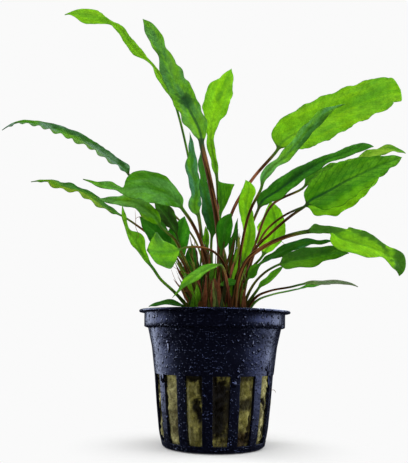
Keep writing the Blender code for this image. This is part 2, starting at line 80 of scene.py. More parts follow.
# How finely the pot is divided: its rows, and its cells across a rib and across a slot's sides and middle.
# The shares are of half the pitch, and of half a slot
SLOT_ROWS = 13
LIP_ROWS = 7
ROWS_ABOVE_SLOTS = [27, 29.5, 32, 34.5, 37, 39.5, 41]
FLOOR_ROWS = [4, FLOOR_SLOT_INNER, 11, FLOOR_SLOT_OUTER, BASE_RADIUS - 1]
RIB_CELLS = 4
SIDE_CELLS = 3
MIDDLE_CELLS = 4
FLOOR_RIB_SHARE = 0.3
WALL_MIDDLE_SHARE = 0.4
MOST_FLOOR_MIDDLE = 0.75

# Rockwool, in mm. It comes out of a slot between the two distances given, from its ribs and from its ends
PLUG_TOP = 44.5
PLUG_GAP = 0.15
SIDE_RADIUS = 20
OUT_FROM_RIB = (0.1, 0.9)
OUT_FROM_END = (0.1, 1.2)
WOOL_SQUEEZE = 0.7
WOOL_SWELL = 0.1
WOOL_BULGE = 0.75
WOOL_HOLLOW = 1.5
DEEPEST_HOLLOW = 2.2
BEHIND_RIBS = 0.1
SHOULDER = 2
TOP_MOUND = 1.1
MOUND_RADIUS = 14
# TOP_SHADE darkens the plug's top and the fibres on it evenly: painted shade under the leaves
TOP_SHADE = 0.45
WOOL_TURNS = 420
BOTTOM_RINGS = [3, 8, 13, 16]
SLOT_RINGS = 90
COLLAR_RINGS = 22
TOP_RINGS = 40

# Loose fibres of the rockwool, in mm, with angles in radians and places in a slot as shares of the pitch
SLOT_FIBRES = 1700
TOP_FIBRES = 1100
FIBRE_POINTS = 6
FIBRE_SIDES = 3
FIBRE_RADII = (0.03, 0.065)
FIBRE_PLACES = (0.27, 0.73)
SLOT_FIBRE_LENGTHS = (1.2, 4.5)
SLOT_FIBRE_LEAN = 0.35
SLOT_FIBRE_LIFT = 0.06
TOP_FIBRE_LENGTHS = (2, 6)
TOP_FIBRE_CURL = 1.2
TOP_FIBRE_LIFT = 0.08
TOP_FIBRE_REACH = 22

# Leaves, in mm
LEAF_FOOT = PLUG_TOP + 0.3
BLADE_HALF_THICK = 0.16
LEAST_HALF_WIDTH = 0.02
RING_POINTS = 52
STALK_STEP = 1.4
BLADE_STEP = 0.55
VEIN_SPACING = 3.4
VEIN_LEAN = 1.5
QUILT = 0.09
SCALLOP = 0.6
CUP = 0.06
GROOVE = 0.18
MOST_RAGGED_WIDTH = 3
SMOOTH_AT_FOOT = 6
SMOOTH_AT_TIP = 5
FAR_FROM_EDGE = 10.0
SHEATH_SWELL = 0.35
SHEATH_LENGTH = 9.0
# Painted shade: leaves and stalks darken towards their feet, where the dense crown shades them
CROWN_HEIGHT = 18.0
CROWN_SHADE = 0.5

# Strips and threads of the crown, in mm. STRIP_WIDTHS are shares of a strip's height and of its half width
STRIP_RING_POINTS = 14
STRIP_STEP = 1.2
STRIP_LEAN = 0.1
STRIP_STALK = 0.35
STRIP_STALK_END = 0.08
STRIP_WIDTHS = [(0.2, 0.75), (0.5, 1), (0.8, 0.7)]
STRIP_TURN = 0.6
# Random darkening and lightening of each strip: partly its own tone, partly painted shade and light
STRIP_SHADES = (-1, 0.7)
STRIP_PATTERN_SHIFT = 60
THREAD_RADIUS = 0.09
THREAD_POINTS = 20
THREAD_SIDES = 5
DOWN_THE_STALK = -20.0

# Layers of random lumps, as height and size, and the seeds of what is random. Sizes are in mm. Heights are
# in mm on the rockwool, and shares of the half width on a blade's edge or of the reach of a mark or stain
EDGE_RAGS = [(0.05, 7), (0.02, 2.4)]
MARK_RAGS = [(0.16, 4.5), (0.1, 1.8)]
STAIN_RAGS = [(0.12, 2.0), (0.06, 0.8)]
WOOL_LUMPS = [(0.35, 6), (0.28, 2.2), (0.12, 0.9)]
TOP_LUMPS = [(0.35, 7), (0.2, 2.4)]
HIDDEN_LUMP = 3
FIBRE_SEED = 5
STRIP_SEED = 11
WOOL_SEED = 21
HIDDEN_SEED = 24
TOP_SEED = 31
STAIN_SEED = 51
MARK_SEED = 71
STRIP_SHAPE_SEED = 300

# A leaf: its tone, the stalk's radius, the stalk's route from the rockwool to the foot of the blade, then
# the blade's midrib with its half widths to the left and right of it (one number where they are equal), its
# tip, the way its upper face looks from foot to tip, its fold in degrees, and its ruffle: how far the left
# and right edges wave, and the length of a wave
Leaf = namedtuple(
    "Leaf", "tone radius stalk blade tip faces fold ruffle",
    defaults=(((0, -1, 0),), 12, (0.35, 0.35, 9)))

LEAVES = {
    "leaf_tall_left": Leaf(
        "mid", 1.0,
        [(2.5, -5), (2, -8, 65), (0, -9, 82.5), (-3, -8, 97.5), (-5.5, -6.5, 108.5)],
        [(-6, -6, 112.5, 2.4), (-7.5, -5, 117, 4), (-10, -4, 122, 4.1), (-13, -2, 128.5, 4.6),
         (-16, 0, 135.5, 4.2), (-19, 2, 142, 3.8), (-21.5, 3.5, 149, 2.3), (-24, 4.5, 154, 2.8),
         (-27, 5.5, 160, 2.5)],
        (-30.5, 6, 165), [(0, -1, 0.1)]),
    "leaf_far_left": Leaf(
        "bright", 0.5,
        [(-3, 9), (-6, 16, 82), (-17, 22, 133)],
        [(-21, 24, 142.5, 1.7), (-24, 25, 147.5, 1.7), (-29, 27, 155.5, 0.6), (-35, 29, 161, 2.1),
         (-39, 30.5, 166.5, 2.1), (-45, 32.5, 175, 1.7), (-49, 33.5, 177.5, 1.5), (-54.5, 35, 179.5, 4.3),
         (-61, 36, 182, 5.2), (-66, 36, 183, 2.4)],
        (-70, 36, 182.5), [(0, -1, 0.3), (-0.3, -0.8, 0.6)], ruffle=(0.15, 0.15, 8)),
    "leaf_upright_centre": Leaf(
        "bright", 0.6,
        [(1, 6), (0.5, 11, 98)],
        [(-0.5, 12, 105.5, 1.2), (-2, 12.5, 112.5, 1.5), (-2.5, 13, 116.5, 1.5), (-2.5, 13.5, 120, 2),
         (-2, 14.5, 124.5, 3.4), (-1, 15.5, 129, 4.8), (0, 16.5, 134, 5.7), (1.5, 18, 139.5, 5.3),
         (4, 19, 145, 3)],
        (6, 20, 150), [(0, -1, 0), (-0.25, -1, 0.1)]),
    "leaf_pointing_right": Leaf(
        "mid", 0.6,
        [(3, 2), (1.5, 4, 70.5), (1.5, 5, 83)],
        [(2, 6, 87, 0.8, 1.5), (1.8, 6.5, 91, 1.1, 3.6), (1.6, 7, 94, 1, 5.5), (1.4, 7.2, 95.3, 0.8, 6.2),
         (1.2, 7.5, 97.2, 0.4, 1.2)],
        (0.8, 8, 99), [(-0.3, -1, 0.1)]),
    "leaf_short_centre": Leaf(
        "dark", 0.5,
        [(0.5, -10.5), (2, -13.5, 66.5)],
        [(2.5, -14.5, 70, 1.8), (3, -16, 73.5, 2.8), (3.5, -16.5, 77, 2.6)],
        (5.5, -17, 80.5), [(0.2, -1, 0.3)]),
    "leaf_dark_centre": Leaf(
        "dark", 0.5,
        [(-0.5, -1), (-1.5, -2, 65), (-1.5, -3, 73)],
        [(-1, -3.5, 77.5, 2.2), (-2, -4, 82.5, 2.7), (-3.5, -4, 88, 2), (-4.5, -3.5, 93.5, 1.6),
         (-5, -3, 99, 1.4), (-5.5, -2, 103.5, 1.2)],
        (-5.5, -1, 109.5), [(-0.2, -1, 0)]),
    "leaf_upright_left": Leaf(
        "mid", 0.4,
        [(-2.5, -5), (-4.5, -4, 65), (-6.5, -3.5, 81.5)],
        [(-7.5, -3, 84, 1.7), (-8, -2.5, 86.5, 2.5), (-7.5, -1, 91.5, 1.9), (-8.5, 0.5, 97, 2.3),
         (-9.5, 2, 102.5, 2.2), (-9.5, 3.5, 109, 1.4), (-10, 4.5, 113, 0.7)],
        (-10.5, 5, 117), [(0.3, -1, 0)]),
    "leaf_small_back": Leaf(
        "bright", 0.5,
        [(-2, 8), (-3, 10, 71)],
        [(-3.5, 11, 74.5, 1.2), (-3.5, 11, 77, 1.3)],
        (-4, 12, 81), [(0.1, -1, 0.2)]),
    "leaf_broad_left": Leaf(
        "mid", 0.6,
        [(-1, -8), (-2.5, -11, 61), (-5, -14, 70.5), (-8.5, -16, 77.5), (-11.5, -18, 81.5)],
        [(-13, -18.5, 83.5, 2.2, 2.6), (-16, -19, 86, 4.3, 4), (-20, -20, 87.5, 5.6, 5.9),
         (-24.5, -21, 88.5, 5.8, 6.2), (-28.5, -22, 88, 4.8, 4.8), (-30.5, -22.3, 87.5, 3.4, 3.1),
         (-31.7, -22.5, 87.3, 2, 1.2), (-33.7, -22.8, 87.6, 1.2, 1.3), (-36.3, -23, 88, 1.6, 2),
         (-40.5, -24, 88.9, 1.1, 1.3)],
        (-45.5, -24, 90.5), [(0.1, -1, 0.3), (0.1, -1, 0.25), (0.2, -0.8, 0.7)]),
    "leaf_long_left": Leaf(
        "mid", 0.4,
        [(-3.5, 5), (-7, 9, 73), (-20, 14, 89), (-34.5, 18, 101.5)],
        [(-38, 18.5, 106, 1.8, 2.8), (-43.5, 19, 110, 2.8), (-48.5, 20, 114, 3), (-54, 20.5, 117, 3.6),
         (-59.5, 21.5, 120, 4), (-65, 22, 122.5, 3.8), (-71.5, 23, 125, 3.4), (-78, 23.5, 126.5, 2.6),
         (-84, 24, 127, 1.8)],
        (-91, 24, 123.5), [(0, -0.6, 0.8)], ruffle=(0.62, 0.05, 5.6)),
    "leaf_low_long_left": Leaf(
        "mid", 0.4,
        [(-6, 1), (-14.5, 2, 67), (-26, 2, 76.5), (-34, 2, 82)],
        [(-38.5, 2, 84.3, 1.1), (-43, 2, 86.8, 2.1, 1.8), (-47, 1.5, 89.5, 2.5), (-51.5, 1, 92, 1.9),
         (-55.5, 0.5, 93, 2.7), (-60, 0, 94, 2.4), (-64, 0, 95.5, 1.2)],
        (-70, -1, 95), [(0, -0.7, 0.7)], ruffle=(0.55, 0.2, 6.2)),
    "leaf_under_broad_left": Leaf(
        "bright", 0.5,
        [(-4, -9), (-7.5, -12, 57.5), (-11.5, -15, 66), (-14, -16, 71), (-19, -16, 75.5)],
        [(-20.5, -16, 78, 2.5, 1.5), (-22.5, -15.5, 80.5, 3.6, 2), (-25.5, -15, 82.7, 2.9, 2.8),
         (-29, -14.5, 84.5, 2.4, 3), (-33, -14, 85.2, 2.4, 2.8), (-36.5, -13, 85.6, 2, 1.6),
         (-40, -13, 85.9, 0.9, 0.5)],
        (-42.5, -13, 86.4), [(0, -1, 0.4)]),
    "leaf_dark_left": Leaf(
        "dark", 0.4,
        [(-7, -4), (-11.5, -6, 64), (-15.5, -6.5, 69)],
        [(-18, -7, 71.5, 2.7), (-21, -8, 74.5, 4.4), (-24, -9, 77, 3)],
        (-27.5, -9.5, 80.5), [(0.2, -1, 0.2)]),
    "leaf_bright_front": Leaf(
        "bright", 0.4,
        [(5, -8), (4, -13, 61), (0, -17, 66.5), (-5, -20, 68), (-10.5, -22, 67.5), (-11.5, -22.5, 67)],
        [(-13.5, -25, 66, 1.9, 1.8), (-16, -29, 65, 5.1, 4.6), (-18.5, -32.5, 64.5, 5.9, 6.4),
         (-20.5, -35.5, 64.5, 3.7, 2.8)],
        (-21.5, -37, 64.5), [(0.6, -0.8, 0.3)]),
    "leaf_dark_inner": Leaf(
        "dark", 0.5,
        [(-5.5, -2), (-10.5, -3, 62.5), (-12, -3, 65)],
        [(-12.5, -3, 68, 1.9), (-13.5, -3, 72, 4), (-13, -3, 76.5, 3.7)],
        (-11.5, -3, 82), [(-0.2, -1, 0)]),
    "leaf_low_left": Leaf(
        "bright", 0.5,
        [(-6.5, -9), (-11.5, -12, 50.5), (-14.5, -16, 53.5), (-18.5, -19, 57), (-21, -22, 60.5)],
        [(-24, -23.5, 64, 0.8, 1.6), (-25.5, -24.5, 66.5, 1.1, 2.8), (-27, -25.5, 69.5, 1.8, 2.8),
         (-29, -26.5, 72, 1.1, 1.2), (-30, -27.5, 75, 0.8, 0.6), (-30.5, -28.5, 77.5, 0.6)],
        (-31, -29, 80.5), [(0.3, -0.9, 0.2)]),
    "leaf_crossing_front": Leaf(
        "mid", 0.4,
        [(5, -14), (4, -19, 56.5), (2, -23.5, 61.5)],
        [(-1, -25, 61, 1.2), (-3.5, -26.5, 59.5, 1.6), (-6.5, -28.5, 57.5, 1.8), (-9, -30, 55, 1.4),
         (-11, -31, 53, 0.7)],
        (-13.5, -32, 50), [(0.1, -0.8, 0.6)]),
    "leaf_small_curled": Leaf(
        "dark", 0.35,
        [(-1.5, -15), (0.5, -14.5, 54), (1.5, -14.5, 55.5)],
        [(3.5, -15, 56, 1.5), (5.5, -15.5, 56.5, 1.6)],
        (8.5, -15.5, 56.5), [(0, -1, 0.5)]),
    "leaf_small_right": Leaf(
        "mid", 0.4,
        [(8, -8), (11, -13, 57.5)],
        [(12.5, -14, 59.5, 1.5), (14, -15.5, 61.5, 1.5)],
        (15.5, -17, 62.5), [(0, -1, 0.3)]),
    "leaf_light_upright": Leaf(
        "bright", 0.5,
        [(9, -5), (10.5, -8, 58), (9.5, -9.5, 62)],
        [(10.5, -11, 67, 1.8), (11.5, -12, 71, 2), (12, -12.5, 75.5, 2.2), (11, -13, 79.5, 2.4),
         (10.5, -13, 83.5, 2.3), (11, -13, 87.5, 2.7), (11.5, -13, 90, 2.4)],
        (10.5, -13, 93.5), [(0.1, -1, 0.1)]),
    "leaf_yellow_back": Leaf(
        "bright", 0.5,
        [(10.5, 6), (12.5, 11, 62), (18, 13, 69)],
        [(20.5, 14.5, 73, 4.3, 2.6), (23, 16, 77.5, 6.6, 4), (24, 17.5, 82.5, 7, 4.2),
         (23.5, 18.5, 87, 4.8, 3.4)],
        (22, 19.5, 93), [(-0.3, -1, 0.1)]),
    "leaf_large_upper_right": Leaf(
        "bright", 0.6,
        [(2.5, -1), (2.5, -1, 68), (6.5, -1, 85), (14, 0, 97.5), (23, 1, 108.5)],
        [(25, 1, 112, 5.3), (29, 2, 115, 7.6), (36, 3.5, 119, 8.8), (43.5, 5, 123.5, 8.8),
         (52.5, 6.5, 128.5, 8.3), (61, 8, 132.5, 7.7), (67.5, 9, 136, 6.7), (70, 9.4, 136.4, 5.9),
         (72.3, 9.8, 136.8, 5.2)],
        (73.7, 10, 137), [(0.1, -1, 0.3)]),
    "leaf_narrow_right": Leaf(
        "dark", 0.5,
        [(6.5, -11), (9.5, -16, 71.5), (12, -18, 81.5), (15.5, -20, 88.5)],
        [(16.5, -21, 92.5, 1.4), (19.5, -22, 96, 1.6), (24, -23, 99.5, 2.1), (30, -25, 106.5, 2.4, 2.1),
         (34.5, -26.5, 111, 2.6, 1.8), (37.5, -27.5, 113.5, 2.1, 1.1), (40.5, -27.5, 115.5, 0.9, 0.6)],
        (43.5, -28, 116.5), [(-0.3, -0.9, 0.2)]),
    "leaf_dark_folded_right": Leaf(
        "dark", 0.5,
        [(6.5, 2), (11, 0, 72), (15.5, -1, 84.5)],
        [(17.5, -1, 88.5, 2.6), (22, -2, 91.5, 3.7), (27, -3, 95, 3.8), (31, -4, 98, 3.2),
         (35.5, -5, 100.5, 3), (40.5, -6.5, 103, 2.2), (45.5, -7.5, 104.5, 2), (50.5, -8, 106.5, 2.4),
         (54.5, -9, 107.5, 1.8)],
        (57.5, -9, 107.5), [(0, -0.9, 0.5)], ruffle=(0.15, 0.15, 9)),
    "leaf_back_right": Leaf(
        "mid", 0.5,
        [(7.5, 6), (16, 11, 75.5), (22.5, 15, 90.5), (35, 18, 98)],
        [(38, 18.5, 101.5, 2.2), (41.5, 19.5, 104, 2.8), (49, 21, 107, 3.2), (57.5, 23, 110, 2.7),
         (64.5, 24, 114, 2.6), (69.5, 25, 116, 2.4), (74, 25.5, 117, 2.4)],
        (79.5, 26, 115.5), [(0, -0.8, 0.6)]),
    "leaf_broad_right": Leaf(
        "mid", 0.5,
        [(8.5, -3), (13.5, -8, 68), (19.5, -11, 74.5), (26.5, -13, 80.5), (31.5, -14, 84)],
        [(33.5, -14.5, 86, 3.9), (36.5, -15, 87.5, 6.5), (40.5, -16, 89.5, 7.7), (45, -17.5, 92, 7.5),
         (49.5, -19, 94, 6.4), (54, -20.5, 96, 5.1), (58, -21.5, 97.5, 3.4), (61, -22.5, 98.5, 2.2)],
        (63.5, -23, 99.5), [(0, -1, 0.4)], ruffle=(0.3, 0.5, 6)),
    "leaf_under_broad_right": Leaf(
        "bright", 0.4,
        [(9.5, 1), (17.5, 1, 75.5), (24.5, 0, 82.5), (33, -1, 86.5)],
        [(35.5, -1, 87, 3.1), (38.5, -1.5, 87, 5.3), (43, -2, 88, 6.1), (47.5, -3, 90, 5.5),
         (52, -3.5, 93, 4.6), (56, -4, 95.5, 3.3)],
        (61.5, -4, 99.5), [(0, -1, 0.4)], ruffle=(0.3, 0.6, 6)),
    "leaf_drooping_right": Leaf(
        "bright", 0.7,
        [(6.5, -17), (10, -21, 62.5), (15.5, -23, 67.5), (23, -25, 71), (29.5, -27, 72.5)],
        [(32.2, -27.7, 72.6, 2.9, 0.7), (34, -28.3, 72.5, 2.4, 0.7), (37, -29.2, 72.3, 2.8, 0.9),
         (38.5, -29.7, 71.8, 3.2, 2.5), (40.5, -30.5, 70, 5.2), (44.5, -31.5, 68.5, 5.9),
         (49, -32.5, 67, 5, 5.2), (53.5, -33, 65, 3.6, 2.9), (57, -34, 62.5, 3.4, 3),
         (58.5, -34, 60, 1.8, 2.2)],
        (58, -34, 57.5), [(0.1, -0.9, 0.6)]),
    "leaf_dark_low_right": Leaf(
        "dark", 0.5,
        [(6.5, -2), (12, -1, 60.5), (16, 0, 64.5)],
        [(19.5, 0.5, 67, 1.4), (24.5, 1, 69.5, 2.2), (29.5, 1.5, 72, 2.3), (35, 2.5, 73.5, 1.8),
         (40, 3.5, 74, 1.2)],
        (45, 4, 74.5), [(0, -0.8, 0.6)]),
    "leaf_green_low_right": Leaf(
        "mid", 0.4,
        [(9, -9), (13, -12, 55.5), (17, -15, 60), (21.5, -18, 62.5)],
        [(23.5, -18.5, 63, 2.6), (27, -19.5, 64, 3.9), (31, -20.5, 64.5, 4.1), (35.5, -21.5, 65.5, 3.7),
         (39.5, -23, 66, 2.8)],
        (44.5, -24, 66), [(0, -0.9, 0.5)]),
    "leaf_strip_right": Leaf(
        "mid", 0.4,
        [(8, -13), (14.5, -17.5, 54)],
        [(16, -18.5, 56, 1.1), (19, -20, 58, 1.2), (21, -20.5, 60, 1)],
        (23, -21.5, 62), [(0, -0.9, 0.5)]),
    "leaf_thin_low_right": Leaf(
        "mid", 0.35,
        [(10, -11), (14, -15, 51.5), (18.5, -19, 53.5), (25, -24, 54.5), (27.5, -27, 55)],
        [(30.5, -28.5, 55.5, 0.8), (34.5, -30, 55.5, 1.1), (39, -31.5, 55.5, 1), (42.5, -33, 55, 0.6)],
        (45, -34, 54), [(0, -0.8, 0.7)], ruffle=(0.1, 0.1, 9)),
    "leaf_thin_low_back": Leaf(
        "mid", 0.35,
        [(11, 4), (15.5, 7, 51.5), (22, 12, 54.5), (29.5, 17, 56.5)],
        [(35, 20, 58, 0.6), (40.5, 23, 59.5, 0.9)],
        (47, 26, 60), [(0, -0.8, 0.7)]),
    "leaf_over_rim": Leaf(
        "dark", 0.35,
        [(-9.5, -5.5), (-10.5, -6, 48)],
        [(-13, -7, 49.3, 1.1), (-17, -8, 49.6, 1.7), (-20.5, -8, 49.2, 1.3)],
        (-23.5, -7, 48.4), [(0, -0.7, 0.8)]),
    "leaf_dark_upper_left": Leaf(
        "dark", 0.35,
        [(-9.2, -3.4), (-10.8, -4.6, 62), (-12.8, -5, 70), (-14, -5.2, 74)],
        [(-15, -5.3, 77, 1.6), (-17, -5.5, 80, 3.1), (-19.3, -6, 83, 3)],
        (-22.5, -6.5, 86.5), [(0.2, -1, 0.2)]),
    "leaf_dark_behind": Leaf(
        "dark", 0.4,
        [(-8.6, -1.2), (-9.2, -1, 57)],
        [(-9.2, -0.8, 61, 1.6), (-9, -0.6, 65, 2.6), (-8.7, -0.5, 68.5, 2.2)],
        (-8.5, -0.3, 72), [(0, -1, 0)]),
    "leaf_narrow_inner": Leaf(
        "dark", 0.35,
        [(5.2, -5.2), (5, -8, 63)],
        [(5.6, -8.8, 68, 0.9), (6.3, -9, 72, 1.1), (7, -9, 75.5, 0.8)],
        (8, -9, 80.5), [(-0.2, -1, 0)]),
    "leaf_brown_sheath": Leaf(
        "dark", 0.9,
        [(-1, -17.3), (-0.9, -17.5, 49)],
        [(-0.8, -17.6, 51.5, 2.1), (-0.5, -17.8, 54.5, 1.8)],
        (-0.2, -18, 58), [(0.1, -1, 0)]),
}

# Darker places on the blades (strength above 0) and lighter ones (below 0), partly the leaves' own tone and
# partly painted shade and light, in mm: place along the midrib from the foot, place across it, half length,
# half width, strength
MARKS = {
    "leaf_tall_left": [(20, 0.2, 4.2, 2.8, 0.8), (7, 0, 9, 5, -0.4), (40, -2, 12, 1.6, 0.3),
                       (38, 2, 12, 2, -0.4)],
    "leaf_upright_centre": [(39, 0, 3, 2, 0.5), (26, -3, 9, 2.5, -0.3), (5, 1, 14, 2, 0.2)],
    "leaf_large_upper_right": [(3, -3, 6, 4, 0.25), (36, -1, 12, 2.5, 0.3), (20, -5, 14, 3, -0.3),
                               (44, 5, 8, 3, -0.3)],
    "leaf_narrow_right": [(28, 1.2, 11, 1.6, 0.7), (12, -0.5, 8, 2.5, -0.3)],
    "leaf_dark_folded_right": [(8, 2, 8, 2, -0.6), (20, -0.5, 9, 2, 0.5), (36, 1.5, 9, 1.5, -0.3)],
    "leaf_broad_right": [(16, -3.5, 14, 3, 0.3), (10, 2.5, 9, 2.5, 0.35), (20, 6.5, 18, 2.4, -0.7)],
    "leaf_under_broad_right": [(14, 4.5, 14, 3, -0.4)],
    "leaf_green_low_right": [(10, -2, 13, 2.2, 0.6), (9, 3, 10, 1.8, -0.4)],
    "leaf_drooping_right": [(6, -1.2, 6, 2.8, 1.3), (22, -4.3, 9, 2, 0.9), (33, -1, 5.5, 4.5, 0.85),
                            (14, 1, 9, 5, -0.35)],
    "leaf_long_left": [(25, 2.4, 30, 2.2, 0.6), (26, -2.6, 26, 1.8, -0.5), (3, 0, 7, 4, 0.5)],
    "leaf_low_long_left": [(14, 1.8, 20, 1.4, 0.6), (20, -1.4, 16, 1.6, -0.7)],
    "leaf_broad_left": [(17, 3, 10, 4, 0.3), (6, -2, 7, 3, 0.25), (12, -5, 6, 2.5, -0.3),
                        (24, 0, 9, 5, -0.4)],
    "leaf_bright_front": [(10, -5, 4, 2, 0.4), (11, 4, 3, 3, 0.75), (6, 3, 6, 3, -0.3)],
    "leaf_dark_left": [(6, -2, 5, 3, 0.4)],
    "leaf_under_broad_left": [(12, 0, 7, 4, -0.3)],
    "leaf_dark_upper_left": [(6, 0, 9, 5, 0.6)],
    "leaf_light_upright": [(14, 1.6, 14, 1.2, 0.3), (14, -1.4, 14, 1.4, -0.3)],
    "leaf_yellow_back": [(10, 3.5, 8, 1.6, 0.4), (8, -1.5, 7, 2, -0.3)],
    "leaf_back_right": [(8, 0, 12, 4, 0.3), (38, 0, 8, 3, -0.8)],
    "leaf_dark_centre": [(8, 0, 10, 3, 0.4), (26, 0, 12, 2, -0.6)],
    "leaf_upright_left": [(3, 0, 5, 3, -0.7)],
}

# The crown's narrow young leaves and torn sheaths, by cluster, in mm: how many, the ranges of their feet's x
# and y, of how far their tips lean to the right, of their tips' heights and of their half widths, and their
# kinds in turn
CROWN_CLUSTERS = [
    (26, (-8, -2), (-14, -3), (-8, -1), (54, 75), (0.3, 0.8),
     ("green", "olive", "brown", "green", "reddish")),
    (22, (-4, 2.5), (-15, -5), (-1.5, 1.5), (52, 70), (0.3, 0.8),
     ("green", "olive", "pale", "reddish", "green", "brown")),
    (32, (1, 8), (-15, -3), (0.5, 7), (54, 78), (0.3, 0.85),
     ("green", "olive", "green", "brown", "reddish")),
    (16, (-4.5, 3), (-19.8, -18.7), (-0.8, 0.8), (50, 60), (0.35, 0.8),
     ("reddish", "olive", "brown", "pale")),
    (22, (-10, 10), (-17, -9), (-1.5, 1.5), (48, 57), (0.6, 1.2), ("brown", "olive", "green", "reddish")),
    (10, (-10, 10), (3, 12), (-2, 2), (48, 56), (0.9, 1.8), ("brown", "olive")),
    (16, (-8, 9), (0, 9), (-4, 4), (55, 76), (0.4, 1.2), ("olive", "green", "brown")),
]

# Fine threads and old roots, each as points from what holds it to its free end
THREADS = [
    [(-26.6, -25.4, 69.8), (-25.6, -25.8, 71), (-26.6, -26, 73.4), (-26.8, -26, 76.8), (-27.1, -26, 79.5)],
    [(-26.8, -26, 76.2), (-26.3, -26, 76.9), (-25.3, -26, 77.2), (-24, -26, 77.5)],
    [(-9, -17, 45), (-10.4, -19, 51), (-11.8, -20, 54), (-13.9, -20, 57.7), (-15, -20, 60.8)],
    [(-8, -15, 45), (-9.5, -17, 50.2), (-11.6, -17, 56), (-13.5, -17, 60.4)],
    [(-7.5, -14, 59), (-9.9, -17, 59.5), (-11.9, -19, 59.9), (-14, -20, 61.1), (-15.4, -20, 62.1)],
    [(-6, -15, 52.5), (-8.4, -18, 53.1), (-9.8, -19, 53.1), (-11.1, -19, 52.8)],
    [(23.5, 14.4, 76.4), (25.5, 14.3, 75.9), (27.1, 14.3, 74.7), (28.5, 14.3, 73.4)],
    [(19.3, -5.5, 19.5), (20.9, -5.8, 20), (21.4, -6, 19.6), (21.5, -6.1, 19)],
]

# Places on the rockwool: slot counted from the rib left of the front, place across it from rib to rib,
# height in mm, half width as a share of the pitch, half height in mm, how dark and sunken it is, and how
# rusty (above 0) or how pale and greyish (below 0). The darkness is partly dark roots and stains and partly
# painted shade, in the hollows, under the slots' tops and over the front slots
WOOL_MARKS = [
    (-1, 0.24, 12, 0.08, 14, 0.0, -0.5), (-1, 0.5, 24.5, 0.5, 2, 0.9, 0),
    (-1, 0.78, 20, 0.14, 5, 0.95, 0.3),
    (-1, 0.72, 9, 0.1, 6, 0.35, 0.2), (-1, 0.52, 15.5, 0.16, 3, 0.8, 0.4),
    (-1, 0.66, 12.5, 0.12, 2.5, 0.95, 0.3),
    (-1, 0.62, 18.5, 0.12, 4, -0.2, -0.3), (-1, 0.4, 6, 0.2, 5, 0.1, -0.2),
    (0, 0.5, 14, 0.6, 15, 0.88, 0.5), (0, 0.35, 18, 0.25, 7, 0.3, 0.3), (0, 0.7, 9, 0.14, 9, -0.2, -0.1),
    (0, 0.5, 3, 0.4, 3, -0.25, 0),
    (1, 0.5, 24.5, 0.5, 1.5, 0.5, 0), (1, 0.55, 15.8, 0.4, 2.6, 0.5, 0.2), (1, 0.5, 4, 0.4, 3.5, 0.45, 0.9),
    (1, 0.3, 10, 0.14, 4, -0.1, -0.2), (1, 0.74, 8, 0.1, 6, 0.5, 0.6),
    (2, 0.5, 21, 0.4, 4, -0.2, 0), (2, 0.62, 15.5, 0.16, 3.2, 0.85, 0.4), (2, 0.4, 9, 0.12, 6, -0.2, -0.9),
    (2, 0.62, 8, 0.1, 7, 0.6, 0.7), (2, 0.3, 3.5, 0.2, 2, 0.7, 0.5),
    (-2, 0.22, 12, 0.1, 14, 0.0, -0.7), (-2, 0.76, 8, 0.1, 8, 0.1, -0.5), (-2, 0.5, 20, 0.3, 4, 0.15, 0.1),
    (-2, 0.5, 12, 0.5, 15, 0.0, -0.8), (2, 0.45, 13, 0.5, 15, 0.0, -0.8),
    (-1, 0.5, 12, 0.6, 16, 0.1, 0), (1, 0.5, 12, 0.6, 16, 0.12, 0),
    (-3, 0.5, 14, 0.5, 14, 0.5, -0.2), (-3, 0.4, 12, 0.1, 9, -0.4, -0.9), (-3, 0.6, 4, 0.2, 3, -0.4, -0.8),
    (3, 0.5, 20, 0.4, 5, 0.2, 0), (3, 0.6, 9, 0.2, 6, 0.55, 0.7), (4, 0.4, 8, 0.3, 6, 0.4, 0.4),
    (5, 0.5, 16, 0.4, 4, 0.55, 0.2), (6, 0.6, 5, 0.3, 5, 0.5, 0.8), (7, 0.4, 18, 0.2, 5, 0.8, 0.4),
    (8, 0.5, 12, 0.4, 6, 0.3, 0.2), (9, 0.5, 22, 0.5, 3, 0.7, 0.1),
]


def smooth_step(value, low, high):
    """0 below low, 1 above high, and the cubic 3s^2 - 2s^3 between them."""
    share = np.clip((value - low) / (high - low), 0, 1)
    return share * share * (3 - 2 * share)


def unit(vectors):
    """The vectors at length 1."""
    return vectors / np.linalg.norm(vectors, axis=-1, keepdims=True)


def round_points(radius, angle, height):
    """Points at radii, angles and heights round the Z axis."""
    return np.stack(np.broadcast_arrays(radius * np.cos(angle), radius * np.sin(angle), height), -1)


def lumps(points, size, seed, waves=9):
    """Smooth random relief around 0, with a standard deviation of 1, at points in mm: a scaled sum of sines
    that run in random directions, with wavelengths near the given size."""
    rng = np.random.default_rng(seed)
    ways = rng.normal(size=(waves, 3))
    ways *= (2 * pi / size * rng.uniform(0.7, 1.4, waves) / np.linalg.norm(ways, axis=1))[:, None]
    return np.sin(points @ ways.T + rng.uniform(0, 2 * pi, waves)).sum(-1) * (2 / waves) ** 0.5


def relief(points, layers, seed):
    """Random relief added up from layers of lumps, each given by its height and its size."""
    return sum(height * lumps(points, size, seed + i) for i, (height, size) in enumerate(layers))


def make_mesh(name, points, faces, attributes=None, inwards=True):
    """A mesh from points in mm, lists of faces, and named values at its points. Faces whose corners are given
    in an order that makes them look inwards are turned round."""
    mesh = bpy.data.meshes.new(name)
    mesh.from_pydata((points * MM).tolist(), [], faces)
    if inwards:
        mesh.flip_normals()
    for key, values in (attributes or {}).items():
        layer = mesh.attributes.new(key, "FLOAT", "POINT")
        layer.data.foreach_set("value", np.ascontiguousarray(values, np.float32))
    mesh.shade_smooth()
    mesh.update()
    return mesh


def add_piece(name, mesh, material, replaced=None):
    """Adds a piece that rides on the plant's one body."""
    obj = bpy.data.objects.new(name, mesh)
    bpy.context.scene.collection.objects.link(obj)
    mesh.materials.append(material)
    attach(obj, "root")
    if replaced:
        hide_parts(replaced)
    return obj


